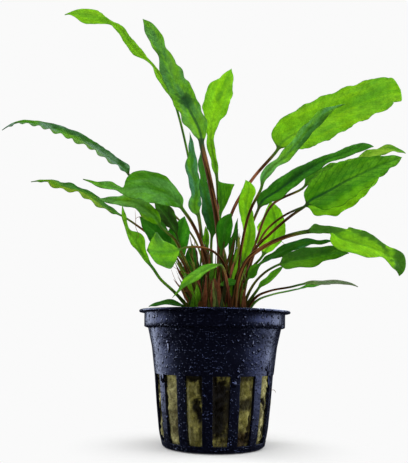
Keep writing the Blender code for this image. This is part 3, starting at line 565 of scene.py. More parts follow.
def ring_faces(rings, count, closed_ends=True):
    """Quads between successive rings of count points, and fans to a pole before and after them."""
    around = np.arange(count)
    beyond = (around + 1) % count
    starts = np.arange(rings - 1)[:, None] * count
    first, after = starts + around, starts + beyond
    faces = np.stack([first, after, after + count, first + count], -1).reshape(-1, 4).tolist()
    if closed_ends:
        last = (rings - 1) * count
        start, end = rings * count, rings * count + 1
        faces += np.stack([beyond, around, np.full(count, start)], 1).tolist()
        faces += np.stack([last + around, last + beyond, np.full(count, end)], 1).tolist()
    return faces


def smooth_curve(rows):
    """A smooth curve through the rows, as a function of a parameter, and the parameter's value at each row,
    which grows with the root of the distance between rows. Between two rows the curve is a cubic whose end
    slopes are those of a parabola through each row's neighbours."""
    knots = np.concatenate([[0], np.cumsum(np.linalg.norm(np.diff(rows[:, :3], axis=0), axis=1) ** 0.5)])
    gap = np.diff(knots)[:, None]
    step = np.diff(rows, axis=0) / gap
    slope = np.empty_like(rows)
    slope[1:-1] = (step[1:] * gap[:-1] + step[:-1] * gap[1:]) / (gap[:-1] + gap[1:])
    slope[0] = 2 * step[0] - slope[1]
    slope[-1] = 2 * step[-1] - slope[-2]

    def at(where):
        i = np.clip(np.searchsorted(knots, where, side="right") - 1, 0, len(gap) - 1)
        x = ((where - knots[i]) / gap[i, 0])[:, None]
        bend = (x**3 - 2 * x**2 + x) * slope[i] + (x**3 - x**2) * slope[i + 1]
        return rows[i] + (3 * x**2 - 2 * x**3) * (rows[i + 1] - rows[i]) + bend * gap[i]

    return at, knots


def even_places(at, start, end, spacing, samples=400, fewest=6):
    """Places along the curve from start to end at an even distance near the given spacing, and their
    distances along it, which are measured over many samples."""
    fine = np.linspace(start, end, samples)
    run = np.concatenate([[0], np.cumsum(np.linalg.norm(np.diff(at(fine)[:, :3], axis=0), axis=1))])
    distances = np.linspace(0, run[-1], max(round(run[-1] / spacing), fewest) + 1)
    return np.interp(distances, run, fine), distances


def leaf_rows(leaf):
    """The leaf's rows as x, y, z, left and right half width, from the stalk's foot to the tip."""
    rows = [(*point, LEAF_FOOT) if len(point) == 2 else point for point in leaf.stalk]
    rows = [(*point, leaf.radius, leaf.radius) for point in rows]
    rows += [(*row, row[3]) if len(row) == 4 else row for row in leaf.blade]
    return np.array([*rows, (*leaf.tip, 0, 0)], float)


def leaf_stations(leaf, blade_step):
    """Stations along a leaf at even distances: their rows, their distances along the midrib from the blade's
    foot, their shares of the blade's length, and how far they are blade and not stalk."""
    at, knots = smooth_curve(leaf_rows(leaf))
    foot, blade_start = knots[len(leaf.stalk) - 1], knots[len(leaf.stalk)]
    on_stalk, stalk_run = even_places(at, 0, foot, STALK_STEP)
    on_blade, blade_run = even_places(at, foot, knots[-1], blade_step)
    where = np.concatenate([on_stalk[:-1], on_blade])
    along = np.concatenate([stalk_run[:-1] - stalk_run[-1], blade_run])
    share = np.clip((where - foot) / (knots[-1] - foot), 0, 1)
    return at(where), along, share, smooth_step(where, foot, blade_start)[:, None]


def leaf_axes(leaf, spine, along, share):
    """The ways to a leaf's right and out of its upper face at its stations. Both are square to the midrib,
    and the upper face turns from one way to the next of those that the leaf's table gives."""
    ways = np.array(leaf.faces, float)
    face = np.stack([np.interp(share, np.linspace(0, 1, len(ways)), part) for part in ways.T], 1)
    forward = np.gradient(spine, along, axis=0)
    forward[0] = 0, 0, 1
    forward = unit(forward)
    side = unit(np.cross(forward, face))
    return side, np.cross(side, forward)


def blade_height(leaf, along, width, across, upper, wave):
    """How high a blade's two sheets stand over its midrib, across it. Both rise as a V with a round bottom
    by the leaf's fold, bend back with the cube of the distance from the midrib, take the edge's wave with
    its power 2.2, and sink along the side veins as a cosine. They lie apart by the root of 1 - x^3 and meet
    at the edge. The upper one has a groove over the midrib and the lower one a rib under it, both bell
    curves that fade towards the tip."""
    edge = np.abs(across)
    offset = across * width
    taper = np.clip(1 - 0.8 * along / along[-1], 0.2, 1)
    rise = width * (np.sqrt(edge**2 + 0.006) - 0.077) * tan(radians(leaf.fold))
    vein = 2 * pi * (along - VEIN_LEAN * np.abs(offset)) / VEIN_SPACING
    smooth = smooth_step(along, 0, SMOOTH_AT_FOOT) * smooth_step(along[-1] - along, 0, SMOOTH_AT_TIP)
    quilt = -QUILT * smooth * np.cos(vein) * smooth_step(edge, 0.02, 0.3) * (1 - edge**4)
    groove = -GROOVE * taper * np.exp(-((offset / (0.9 * leaf.radius)) ** 2)) * (upper > 0)
    rib = -leaf.radius * taper * np.exp(-((offset / (0.8 * leaf.radius)) ** 2)) * (upper < 0)
    shell = upper * BLADE_HALF_THICK * np.sqrt(1 - edge**3)
    return rise - CUP * width * edge**3 + wave * edge**2.2 + quilt + groove + rib + shell


def leaf_surface(leaf, seed, ring_points=RING_POINTS, blade_step=BLADE_STEP):
    """A leaf as a closed surface of (place along the leaf, angle round it). On the stalk a ring is a circle,
    which swells towards its foot. On the blade its upper and lower halves are two sheets, whose ragged edges
    wave as a sine, and whose width waves with them. Gives the points, their places along and across the
    midrib, their distance from the edge, and how far they are blade."""
    rng = np.random.default_rng(seed)
    stations, run, share, flat = leaf_stations(leaf, blade_step)
    spine = stations[:, :3]
    side, up = leaf_axes(leaf, spine, run, share)

    angle = np.arange(ring_points) * 2 * pi / ring_points
    half_turn = 1 - 2 * np.minimum(angle, 2 * pi - angle) / pi
    across = np.sign(half_turn) * (1 - np.cos(pi * np.abs(half_turn))) / 2
    left = across < 0
    along = run[:, None]

    left_wave, right_wave, wave_length = leaf.ruffle
    phase = np.where(left, rng.uniform(0, 2 * pi), rng.uniform(0, 2 * pi))
    turns = 2 * pi * along / wave_length + phase
    swing = smooth_step(along, 0, SMOOTH_AT_FOOT) * smooth_step(along[-1] - along, 0, SMOOTH_AT_TIP)
    swing = swing * np.where(left, left_wave, right_wave)

    width = np.where(left, stations[:, 3:4], stations[:, 4:5])
    ragged = relief(np.stack(np.broadcast_arrays(along, 30 * np.sign(across), 0.0), -1), EDGE_RAGS, seed + 1)
    width = width + ragged * np.minimum(width, MOST_RAGGED_WIDTH) + SCALLOP * swing * np.cos(turns)
    width = np.maximum(width, LEAST_HALF_WIDTH)
    height = blade_height(leaf, along, width, across, np.where(angle < pi, 1.0, -1.0), swing * np.sin(turns))

    radius = leaf.radius + SHEATH_SWELL * np.exp(-(((along - along[0]) / SHEATH_LENGTH) ** 2))
    crosswise = flat * across * width + (1 - flat) * radius * np.cos(angle)
    height = flat * height + (1 - flat) * radius * np.sin(angle)
    points = spine[:, None] + side[:, None] * crosswise[..., None] + up[:, None] * height[..., None]
    from_edge = (1 - np.abs(across)) * width + (1 - flat) * FAR_FROM_EDGE
    return points, run, across * width, from_edge, flat * np.ones_like(width)


def leaf_shade(name, along, across, heights):
    """How dark a leaf is, from -1 to 1: painted shade near the crown, and its marks, soft ellipses with
    ragged rims, which are partly the leaf's own darker and lighter tone and partly painted shade and light."""
    shade = CROWN_SHADE * (1 - smooth_step(heights, LEAF_FOOT, LEAF_FOOT + CROWN_HEIGHT))
    ragged = relief(np.stack([along, across, 0 * along], -1), MARK_RAGS, MARK_SEED)
    for place, aside, half_length, half_width, strength in MARKS.get(name, ()):
        reach = np.hypot((along - place) / half_length, (across - aside) / half_width) + ragged
        shade = shade + strength * (1 - smooth_step(reach, 0.4, 1.4))
    return np.clip(shade, -1, 1)


def leaf_data(name, leaf, seed, **fineness):
    """A leaf's points, its faces, and the values that its material reads."""
    points, along, across, rim, blade = leaf_surface(leaf, seed, **fineness)
    rings, count = points.shape[:2]
    ends = np.array([points[0].mean(0), points[-1].mean(0)])
    points = np.concatenate([points.reshape(-1, 3), ends])
    values = {
        "along": np.concatenate([np.repeat(along, count), along[[0, -1]]]),
        "across": np.append(across, [0, 0]),
        "rim": np.append(rim, [FAR_FROM_EDGE, 0]),
        "blade": np.append(blade, [0, 1]),
    }
    values["shade"] = leaf_shade(name, values["along"], values["across"], points[:, 2])
    return points, ring_faces(rings, count), values


def make_leaf(name, leaf, seed, material):
    """A leaf with its stalk, in place of the CAD leaf of that name."""
    mesh = make_mesh(name, *leaf_data(name, leaf, seed))
    add_piece(name + "_skin", mesh, material, name)


def join_surfaces(surfaces):
    """The points, faces and values of many surfaces as those of one."""
    faces = []
    start = 0
    for points, own_faces, _ in surfaces:
        faces += [[start + corner for corner in face] for face in own_faces]
        start += len(points)
    values = {key: np.concatenate([own[key] for _, _, own in surfaces]) for key in surfaces[0][2]}
    return np.concatenate([points for points, _, _ in surfaces]), faces, values


def crown_strip(rng, feet_x, feet_y, leans, tips, half_widths):
    """A narrow leaf that stands on the rockwool at a random place of its cluster, leans to its side with the
    power 1.5 of its height and evenly outwards, is widest at its middle and ends in a point."""
    x, y = rng.uniform(*feet_x), rng.uniform(*feet_y)
    height = rng.uniform(*tips) - LEAF_FOOT
    lean, half_width = rng.uniform(*leans), rng.uniform(*half_widths)
    outward = -1 if y < 0 else 1

    def row(share, *width):
        along = height * share
        return (x + lean * share**1.5, y + outward * STRIP_LEAN * along, LEAF_FOOT + along, *width)

    blade = [row(share, half_width * wide) for share, wide in STRIP_WIDTHS]
    face = (rng.uniform(-STRIP_TURN, STRIP_TURN), outward, 0)
    return Leaf("dark", STRIP_STALK, [(x, y), row(STRIP_STALK_END)], blade, row(1), [face])


def crown_strips():
    """The surfaces of the crown's strips, by kind. Each strip takes the pattern of its colours from a place
    of its own, and is darkened or lightened at random: partly its own tone, partly painted shade and light
    among the crowded strips."""
    rng = np.random.default_rng(STRIP_SEED)
    strips = {}
    for count, *ranges, kinds in CROWN_CLUSTERS:
        for number in range(count):
            points, faces, values = leaf_data(
                "strip", crown_strip(rng, *ranges), STRIP_SHAPE_SEED + number,
                ring_points=STRIP_RING_POINTS, blade_step=STRIP_STEP)
            values["along"] = values["along"] + STRIP_PATTERN_SHIFT * (number + 1)
            values["blade"] = np.ones_like(values["blade"])
            values["shade"] = np.clip(values["shade"] + rng.uniform(*STRIP_SHADES), -1, 1)
            strips.setdefault(kinds[number % len(kinds)], []).append((points, faces, values))
    return strips


def make_strips(tissue):
    """The crown's strips, one piece for each kind."""
    for kind, surfaces in crown_strips().items():
        mesh = make_mesh("strips", *join_surfaces(surfaces))
        look = dict(STRIPS[kind], Sheen_Share=0.0, Midrib_Share=0.0)
        material = leaf_material("strip_" + kind, look, STRIP_PATTERN, tissue)
        add_piece("crown_strips_" + kind, mesh, material)


def make_threads(tissue):
    """Fine threads and old roots as thin tubes along smooth curves."""
    curves = [smooth_curve(np.array(thread, float)) for thread in THREADS]
    routes = np.array([at(np.linspace(0, knots[-1], THREAD_POINTS)) for at, knots in curves])
    along = np.full(routes.shape[:2], DOWN_THE_STALK)
    mesh = tubes("threads", routes, np.full(len(routes), THREAD_RADIUS), THREAD_SIDES, along=along)
    stalk, stalk_light = STALKS["brown"]
    look = dict(STRIPS["brown"], Stalk=stalk, Stalk_Light=stalk_light)
    add_piece("crown_threads", mesh, leaf_material("threads", look, THREAD_PATTERN, tissue))


def wall_radius(height):
    """Outer radius of the pot's wall at heights in mm."""
    radii, heights = np.array(WALL[::-1]).T
    return np.interp(height, heights, radii)


def pot_rows():
    """The pot's section as rows of radius, height and whether they are floor, from the inner floor's middle
    up the inside, over the flange's round lip, down the outside and in along the base. Also the pairs of an
    outer and an inner row between which the slots' sides run, from a slot's one end to its other, in the
    wall and the floor."""
    heights = [*np.linspace(SLOT_BOTTOM, SLOT_TOP, SLOT_ROWS), *ROWS_ABOVE_SLOTS]
    inside = COLLAR_RADIUS - WALL_THICK
    underside = POT_HEIGHT - FLANGE_THICK
    lip = FLANGE_THICK / 2
    lip_turns = np.linspace(pi / 2, -pi / 2, LIP_ROWS)
    lip_radius, lip_height = FLANGE_RADIUS - lip, POT_HEIGHT - lip
    rim = [(inside, LEDGE_Z + 0.8), (inside, COLLAR_MIDDLE_INSIDE), (inside, POT_HEIGHT - 0.4)]
    rim += [(inside + 0.4, POT_HEIGHT)]
    rim += [(lip_radius + lip * cos(turn), lip_height + lip * sin(turn)) for turn in lip_turns]
    rim += [(COLLAR_RADIUS + 0.2, underside), (COLLAR_RADIUS, underside - 0.25)]
    rim += [(COLLAR_RADIUS - 0.05, COLLAR_MIDDLE_OUTSIDE), (COLLAR_RADIUS - 0.1, LEDGE_Z + 0.3)]
    rim += [(COLLAR_RADIUS - 0.4, LEDGE_Z)]

    rows = [(radius, FLOOR_THICK, True) for radius in FLOOR_ROWS]
    inner_wall = len(rows)
    rows += [(wall_radius(height) - WALL_THICK, height, False) for height in heights]
    rows += [(*point, False) for point in rim]
    outer_wall = len(rows)
    rows += [(wall_radius(height), height, False) for height in heights[::-1]]
    rows += [(wall_radius(0.6), 0.6, False), (BASE_RADIUS + 0.5, 0.1, False)]
    outer_floor = len(rows)
    rows += [(radius, 0, True) for radius in FLOOR_ROWS[::-1]]

    slot_ends = FLOOR_ROWS.index(FLOOR_SLOT_OUTER), FLOOR_ROWS.index(FLOOR_SLOT_INNER) - 1
    wall_pairs = [(outer_wall + len(heights) - 1 - i, inner_wall + i) for i in range(SLOT_ROWS - 1, -1, -1)]
    floor_pairs = [(outer_floor + len(FLOOR_ROWS) - 1 - i, i) for i in range(*slot_ends, -1)]
    return rows, wall_pairs, floor_pairs


def column_angles(radius, is_floor):
    """The angles of the lines of one rib and one slot, from the rib's left edge. On the wall the rib keeps
    its width, and on the floor the cells at the slot's middle keep the floor slot's width."""
    rib = FLOOR_RIB_SHARE * SLOT_PITCH / 2 if is_floor else RIB_WIDTH / 2 / radius
    slot = SLOT_PITCH / 2 - rib
    middle = WALL_MIDDLE_SHARE * slot
    if is_floor:
        middle = min(FLOOR_SLOT_WIDTH / 2 / radius, MOST_FLOOR_MIDDLE * slot)
    lines = [
        np.linspace(-rib, rib, RIB_CELLS, endpoint=False),
        SLOT_PITCH / 2 + np.linspace(-slot, -middle, SIDE_CELLS, endpoint=False),
        SLOT_PITCH / 2 + np.linspace(-middle, middle, MIDDLE_CELLS, endpoint=False),
        SLOT_PITCH / 2 + np.linspace(middle, slot, SIDE_CELLS, endpoint=False),
    ]
    return np.concatenate(lines)


def slot_sides(pairs, columns, count):
    """The sides of one slot as quads of (row, line): left and right ones, and those at its two ends."""
    first, last = columns[0], (columns[-1] + 1) % count
    sides = []
    for (outer, inner), (outer_next, inner_next) in zip(pairs, pairs[1:]):
        sides.append([(outer, first), (inner, first), (inner_next, first), (outer_next, first)])
        sides.append([(outer_next, last), (inner_next, last), (inner, last), (outer, last)])
    (start, start_in), (end, end_in) = pairs[0], pairs[-1]
    for column in columns:
        after = (column + 1) % count
        sides.append([(start, after), (start_in, after), (start_in, column), (start, column)])
        sides.append([(end, column), (end_in, column), (end_in, after), (end, after)])
    return sides


def pot_mesh():
    """The pot as a surface of (place along its section, angle round it), with the cells of the slots left
    out and the edges of the inner and outer cells joined there."""
    rows, wall_pairs, floor_pairs = pot_rows()
    angles = np.array([column_angles(radius, is_floor) for radius, _, is_floor in rows])
    pitch_cells = angles.shape[1]
    angles = np.concatenate([angles + FIRST_RIB_ANGLE + i * SLOT_PITCH for i in range(SLOT_COUNT)], 1)
    count = angles.shape[1]
    radius, height = np.array([row[:2] for row in rows], float).T
    points = round_points(radius[:, None], angles, height[:, None]).reshape(-1, 3)
    middle = RIB_CELLS + SIDE_CELLS
    wall_cells = range(RIB_CELLS, pitch_cells)
    floor_cells = range(middle, middle + MIDDLE_CELLS)
    holes = set()
    sides = []
    for pairs, cells in ((wall_pairs, wall_cells), (floor_pairs, floor_cells)):
        for i in range(SLOT_COUNT):
            columns = [i * pitch_cells + cell for cell in cells]
            for (outer, _), (_, inner_next) in zip(pairs, pairs[1:]):
                holes.update(row * count + column for row in (outer, inner_next) for column in columns)
            sides += slot_sides(pairs, columns, count)
    faces = [face for i, face in enumerate(ring_faces(len(rows), count)) if i not in holes]
    faces += [[row * count + column for row, column in side] for side in sides]
    points = np.concatenate([points, [[0, 0, FLOOR_THICK], [0, 0, 0]]])
    return make_mesh("pot", points, faces)


def make_pot(material):
    """The net pot, with its sharp edges rounded."""
    pot = add_piece("net_pot", pot_mesh(), material, "pot")
    bevel = pot.modifiers.new("rounded edges", "BEVEL")
    bevel.width = EDGE_ROUNDING * MM
    bevel.segments = 2
    bevel.limit_method = "ANGLE"
    bevel.angle_limit = radians(50)
    bevel.harden_normals = True


def wool_marks(angle, height):
    """How dark and how rusty the rockwool is at angles and heights: soft ellipses with ragged rims. The
    darkness is partly dark roots and stains and partly painted shade.
    """
    turns = (angle - FIRST_RIB_ANGLE) / SLOT_PITCH
    ragged = relief(round_points(SIDE_RADIUS, angle, height), STAIN_RAGS, STAIN_SEED)
    dark, rust = np.zeros((2, *ragged.shape))
    for slot, across, middle, half_width, half_height, darkness, rustiness in WOOL_MARKS:
        beside = (turns - slot - across + SLOT_COUNT / 2) % SLOT_COUNT - SLOT_COUNT / 2
        reach = np.hypot(beside / half_width, (height - middle) / half_height) + ragged
        inside = 1 - smooth_step(reach, 0.5, 1.2)
        dark += darkness * inside
        rust += rustiness * inside
    return np.clip(dark, 0, 1), np.clip(rust, -1, 1)


def wool_radius(angle, height):
    """Radius of the rockwool's side at angles and heights: just inside the wall, and bulging into the slots
    as far as its lumps carry it, but not past the wall's outer face."""
    inside = wall_radius(height) - WALL_THICK
    across = ((angle - FIRST_RIB_ANGLE) / SLOT_PITCH) % 1
    from_rib = np.minimum(across, 1 - across) * SLOT_PITCH * inside - RIB_WIDTH / 2
    opening = smooth_step(from_rib, *OUT_FROM_RIB)
    opening = opening * smooth_step(height - SLOT_BOTTOM, *OUT_FROM_END)
    opening = opening * smooth_step(SLOT_TOP - height, *OUT_FROM_END)
    points = round_points(inside, angle, height * WOOL_SQUEEZE)
    bulge = WOOL_SWELL + relief(points, WOOL_LUMPS, WOOL_SEED) - WOOL_HOLLOW * wool_marks(angle, height)[0]
    bulge = np.clip(bulge, -DEEPEST_HOLLOW, WOOL_BULGE)
    hidden = BEHIND_RIBS * (1 + lumps(points, HIDDEN_LUMP, HIDDEN_SEED))
    return inside - PLUG_GAP + opening * (PLUG_GAP + bulge) - (1 - opening) * hidden


def wool_top(x, y):
    """Height of the rockwool's top: lumpy, and raised a little where the stalks grow out of it."""
    mound = TOP_MOUND * np.exp(-(x**2 + y**2) / MOUND_RADIUS**2)
    return PLUG_TOP - 0.2 + mound + relief(np.stack([x, y, 0 * x], -1), TOP_LUMPS, TOP_SEED)


def make_rockwool(material):
    """The rockwool as a surface of (place along its section, angle round it): a flat bottom, the side that
    bulges into the slots, a rounded shoulder and the lumpy top."""
    angle = np.linspace(0, 2 * pi, WOOL_TURNS, endpoint=False)
    bottom = FLOOR_THICK + PLUG_GAP
    in_slots = np.linspace(bottom + 0.8, SLOT_TOP + 1, SLOT_RINGS)
    in_collar = np.linspace(SLOT_TOP + 2, PLUG_TOP - SHOULDER, COLLAR_RINGS)
    heights = np.concatenate([in_slots, in_collar])[:, None]
    side_radius = wool_radius(angle, heights)
    share = np.linspace(0.985, 0.03, TOP_RINGS)[:, None]
    x, y = side_radius[-1] * share * np.cos(angle), side_radius[-1] * share * np.sin(angle)
    drop = SHOULDER * (1 - np.sqrt(1 - smooth_step(share, 0.86, 1) * 0.96))
    underside = round_points(np.array(BOTTOM_RINGS)[:, None], angle, bottom)
    side = round_points(side_radius, angle, heights)
    top = np.stack([x, y, wool_top(x, y) - drop], -1)
    rings = np.concatenate([underside, side, top])
    points = np.concatenate([rings.reshape(-1, 3), [[0, 0, bottom], [0, 0, wool_top(0.0, 0.0)]]])

    dark, rust = np.zeros((2, len(rings), WOOL_TURNS))
    on_side = slice(len(underside), len(underside) + len(side))
    dark[on_side], rust[on_side] = wool_marks(angle, heights)
    # Painted shade: the top is evenly darkened
    dark[on_side.stop:] = TOP_SHADE
    values = {"dark": np.append(dark, [0, TOP_SHADE]), "rust": np.append(rust, [0, 0])}
    mesh = make_mesh("rockwool", points, ring_faces(len(rings), WOOL_TURNS), values, inwards=False)
    add_piece("rockwool_plug", mesh, material, "rockwool")


def tubes(name, routes, radii, sides, **values):
    """Many thin closed tubes as one mesh: routes is (tube, point, xyz) in mm, and radii gives each tube's
    radius, which thins to a tenth at its ends with the root of a sine. The values are attributes, each given
    at the routes' points."""
    count, steps = routes.shape[:2]
    forward = unit(np.gradient(routes, axis=1))
    side = unit(np.cross(forward, (0.31, 0.83, 0.47)))
    up = np.cross(side, forward)
    turn = (np.arange(sides) * 2 * pi / sides)[:, None]
    thick = radii[:, None] * (0.1 + 0.9 * np.sin(np.linspace(0, pi, steps)) ** 0.5)
    ring = side[:, :, None] * np.cos(turn) + up[:, :, None] * np.sin(turn)
    points = routes[:, :, None] + ring * thick[..., None, None]
    starts = np.arange(count)[:, None] * steps * sides
    one = np.array(ring_faces(steps, sides, False))
    faces = (one + starts[..., None]).reshape(-1, one.shape[1]).tolist()
    faces += (starts + np.arange(sides)[::-1]).tolist()
    faces += (starts + (steps - 1) * sides + np.arange(sides)).tolist()
    values = {key: np.repeat(value, sides) for key, value in values.items()}
    return make_mesh(name, points.reshape(-1, 3), faces, values)


def slot_fibres(rng, steps):
    """Fibres in the slots, as their points and their angles and heights: arcs on the wool's side, which run
    upwards and lean and sway a little."""
    slots = rng.integers(0, SLOT_COUNT, SLOT_FIBRES)
    angle = FIRST_RIB_ANGLE + (slots + rng.uniform(*FIBRE_PLACES, SLOT_FIBRES)) * SLOT_PITCH
    height = rng.uniform(SLOT_BOTTOM + 1, SLOT_TOP - 1, SLOT_FIBRES)
    length = rng.uniform(*SLOT_FIBRE_LENGTHS, SLOT_FIBRES)
    lean = rng.uniform(-SLOT_FIBRE_LEAN, SLOT_FIBRE_LEAN, SLOT_FIBRES)
    heights = height[:, None] + length[:, None] * np.cos(lean)[:, None] * steps
    heights = np.clip(heights, SLOT_BOTTOM + 0.4, SLOT_TOP - 0.4)
    sway = lean[:, None] * length[:, None] * steps + 0.5 * lean[::-1, None] * (steps**2)
    angles = angle[:, None] + sway / SIDE_RADIUS
    return round_points(wool_radius(angles, heights) + SLOT_FIBRE_LIFT, angles, heights), angles, heights


def top_fibres(rng, steps):
    """Fibres on top of the wool, as their points: each lies along a random heading that turns evenly."""
    reach = TOP_FIBRE_REACH * np.sqrt(rng.uniform(0, 1, TOP_FIBRES))
    around = rng.uniform(0, 2 * pi, TOP_FIBRES)
    heading = rng.uniform(0, 2 * pi, TOP_FIBRES)[:, None]
    heading = heading + rng.uniform(-TOP_FIBRE_CURL, TOP_FIBRE_CURL, TOP_FIBRES)[:, None] * steps
    span = rng.uniform(*TOP_FIBRE_LENGTHS, TOP_FIBRES)[:, None] * steps
    x = (reach * np.cos(around))[:, None] + span * np.cos(heading)
    y = (reach * np.sin(around))[:, None] + span * np.sin(heading)
    points = np.stack([x, y, wool_top(x, y) + TOP_FIBRE_LIFT], -1)
    return points[np.hypot(x, y).max(1) < TOP_FIBRE_REACH]


def make_fibres(material):
    """Loose fibres that lie on the rockwool, in the slots and on top, with its stains and its painted shade.
    """
    rng = np.random.default_rng(FIBRE_SEED)
    steps = np.linspace(-0.5, 0.5, FIBRE_POINTS)
    in_slots, angles, heights = slot_fibres(rng, steps)
    on_top = top_fibres(rng, steps)
    routes = np.concatenate([in_slots, on_top])
    dark, rust = wool_marks(angles, heights)
    dark = np.concatenate([dark, np.full(on_top.shape[:2], TOP_SHADE)])
    rust = np.concatenate([rust, np.zeros(on_top.shape[:2])])
    radii = rng.uniform(*FIBRE_RADII, len(routes))
    mesh = tubes("rockwool fibres", routes, radii, FIBRE_SIDES, dark=dark, rust=rust)
    add_piece("rockwool_fibres", mesh, material)


def add_node(tree, kind, inputs=None, **settings):
    """A node whose inputs are sockets to link from, or plain values."""
    made = tree.nodes.new(kind)
    for key, value in settings.items():
        setattr(made, key, value)
    for key, value in (inputs or {}).items():
        if isinstance(value, bpy.types.NodeSocket):
            tree.links.new(value, made.inputs[key])
        else:
            made.inputs[key].default_value = value
    return made


def math_node(tree, operation, *values):
    """One step of arithmetic."""
    return add_node(tree, "ShaderNodeMath", dict(enumerate(values)), operation=operation).outputs[0]


def step_node(tree, value, low, high, to_low=0.0, to_high=1.0):
    """A smooth step of a value between low and high."""
    inputs = {"Value": value, "From Min": low, "From Max": high, "To Min": to_low, "To Max": to_high}
    return add_node(tree, "ShaderNodeMapRange", inputs, interpolation_type="SMOOTHSTEP").outputs[0]


def mix_node(tree, share, first, second):
    """The second colour over the first, by its share."""
    inputs = {0: share, 6: first, 7: second}
    return add_node(tree, "ShaderNodeMix", inputs, data_type="RGBA").outputs[2]


def lay_over(tree, body, colour, value, low, high, share=1.0):
    """A colour laid over another, from nothing where the value is low to its share where it is high."""
    return mix_node(tree, step_node(tree, value, low, high, 0.0, share), body, colour)


def noise_node(tree, vector, scale, detail=2.0, roughness=0.5):
    """Fractal noise, from 0 to 1."""
    inputs = {"Vector": vector, "Scale": scale, "Detail": detail, "Roughness": roughness}
    return add_node(tree, "ShaderNodeTexNoise", inputs).outputs[0]


def vector_node(tree, x, y, z):
    """A vector put together from three values."""
    return add_node(tree, "ShaderNodeCombineXYZ", {0: x, 1: y, 2: z}).outputs[0]


def attribute_node(tree, name):
    """A value that the mesh holds at its points."""
    return add_node(tree, "ShaderNodeAttribute", attribute_name=name).outputs["Fac"]


def object_place(tree):
    """The place in the object's own space, in metres."""
    return add_node(tree, "ShaderNodeTexCoord").outputs["Object"]


def squeeze(tree, place, upright):
    """The place with its height scaled, which stretches a pattern upwards by the inverse."""
    return add_node(tree, "ShaderNodeMapping", {"Vector": place, "Scale": (1.0, 1.0, upright)}).outputs[0]


def bump(tree, height, distance, strength=1.0):
    """The normal of a relief whose height of 1 is the given distance in metres."""
    inputs = {"Height": height, "Distance": distance, "Strength": strength}
    return add_node(tree, "ShaderNodeBump", inputs).outputs[0]


def new_group(name, inputs, outputs):
    """A shader node group with named inputs, as (kind, default), and named outputs. Gives the tree, its
    inputs' sockets by name and its output node."""
    tree = bpy.data.node_groups.new(name, "ShaderNodeTree")
    for label, (kind, default) in inputs.items():
        socket = tree.interface.new_socket(name=label, in_out="INPUT", socket_type="NodeSocket" + kind)
        if default is not None:
            socket.default_value = default
    for label, kind in outputs.items():
        tree.interface.new_socket(name=label, in_out="OUTPUT", socket_type="NodeSocket" + kind)
    given = tree.nodes.new("NodeGroupInput")
    return tree, given.outputs, tree.nodes.new("NodeGroupOutput")


def put_group(tree, group, **inputs):
    """The group in a material, with its inputs given by name, where _ stands for a space."""
    named = {label.replace("_", " "): value for label, value in inputs.items()}
    return add_node(tree, "ShaderNodeGroup", named, node_tree=group).outputs


def new_material(name, **shader_values):
    """A material with one Principled BSDF. Gives the material, its node tree and the shader."""
    material = bpy.data.materials.new(name)
    material.use_nodes = True
    tree = material.node_tree
    shader = tree.nodes["Principled BSDF"]
    for label, value in shader_values.items():
        shader.inputs[label.replace("_", " ")].default_value = value
    return material, tree, shader


# The patterns of leaves and strips: scales per metre, and per mm for the net of veins, how far the pattern
# moves from one leaf to the next, which places in it the strips and the threads take, and its relief in
# metres
CLOUD_SCALE = 75.0
MOTTLE_SCALE = 330.0
GRAIN_SCALE = 950.0
NET_SCALE = 0.85
PATTERN_STEP = 0.37
STRIP_PATTERN = 50
THREAD_PATTERN = 60
LEAF_RELIEF = 0.00012
LEAF_RELIEF_SHARE = 0.6

# Leaf colours by tone, as linear red, green and blue
TONES = {
    "bright": dict(Light=(0.22, 0.5, 0.004), Flesh=(0.13, 0.375, 0.004), Deep=(0.075, 0.275, 0.005)),
    "mid": dict(Light=(0.12, 0.37, 0.005), Flesh=(0.057, 0.25, 0.004), Deep=(0.022, 0.14, 0.005)),
    "dark": dict(Light=(0.05, 0.24, 0.006), Flesh=(0.022, 0.15, 0.004), Deep=(0.009, 0.08, 0.004)),
}
# The sheen colour and its share: a painted bluish sheen, laid in patches over the green for the lamps'
# reflection
PLAIN_LOOK = dict(Sheen=(0.055, 0.2, 0.075), Sheen_Share=0.08, Midrib=(0.035, 0.14, 0.012), Midrib_Share=0.5,
                  Vein_Share=0.3)
# Near-black colours of painted shade near the crown and of dark marks, on blades and on stalks, and the rim's
# brown
DARK_MARK_AND_SHADE = (0.006, 0.035, 0.01, 1)
PAINTED_STALK_SHADE = (0.008, 0.006, 0.002, 1)
RIM_BROWN = (0.03, 0.012, 0.012, 1)

# Colours of the leaves that lie between bright and mid, and of the crown's strips by kind
FRESH = dict(Light=(0.2, 0.5, 0.004), Flesh=(0.11, 0.36, 0.004), Deep=(0.045, 0.2, 0.006))
STRIPS = {
    "brown": dict(Light=(0.17, 0.075, 0.02), Flesh=(0.085, 0.032, 0.009), Deep=(0.03, 0.01, 0.003)),
    "reddish": dict(Light=(0.28, 0.1, 0.05), Flesh=(0.15, 0.045, 0.02), Deep=(0.05, 0.014, 0.006)),
    "olive": dict(Light=(0.22, 0.26, 0.035), Flesh=(0.1, 0.115, 0.015), Deep=(0.035, 0.035, 0.006)),
    "green": dict(Light=(0.16, 0.42, 0.015), Flesh=(0.07, 0.22, 0.01), Deep=(0.018, 0.08, 0.007)),
    "pale": dict(Light=(0.36, 0.44, 0.13), Flesh=(0.2, 0.27, 0.06), Deep=(0.1, 0.13, 0.03)),
}

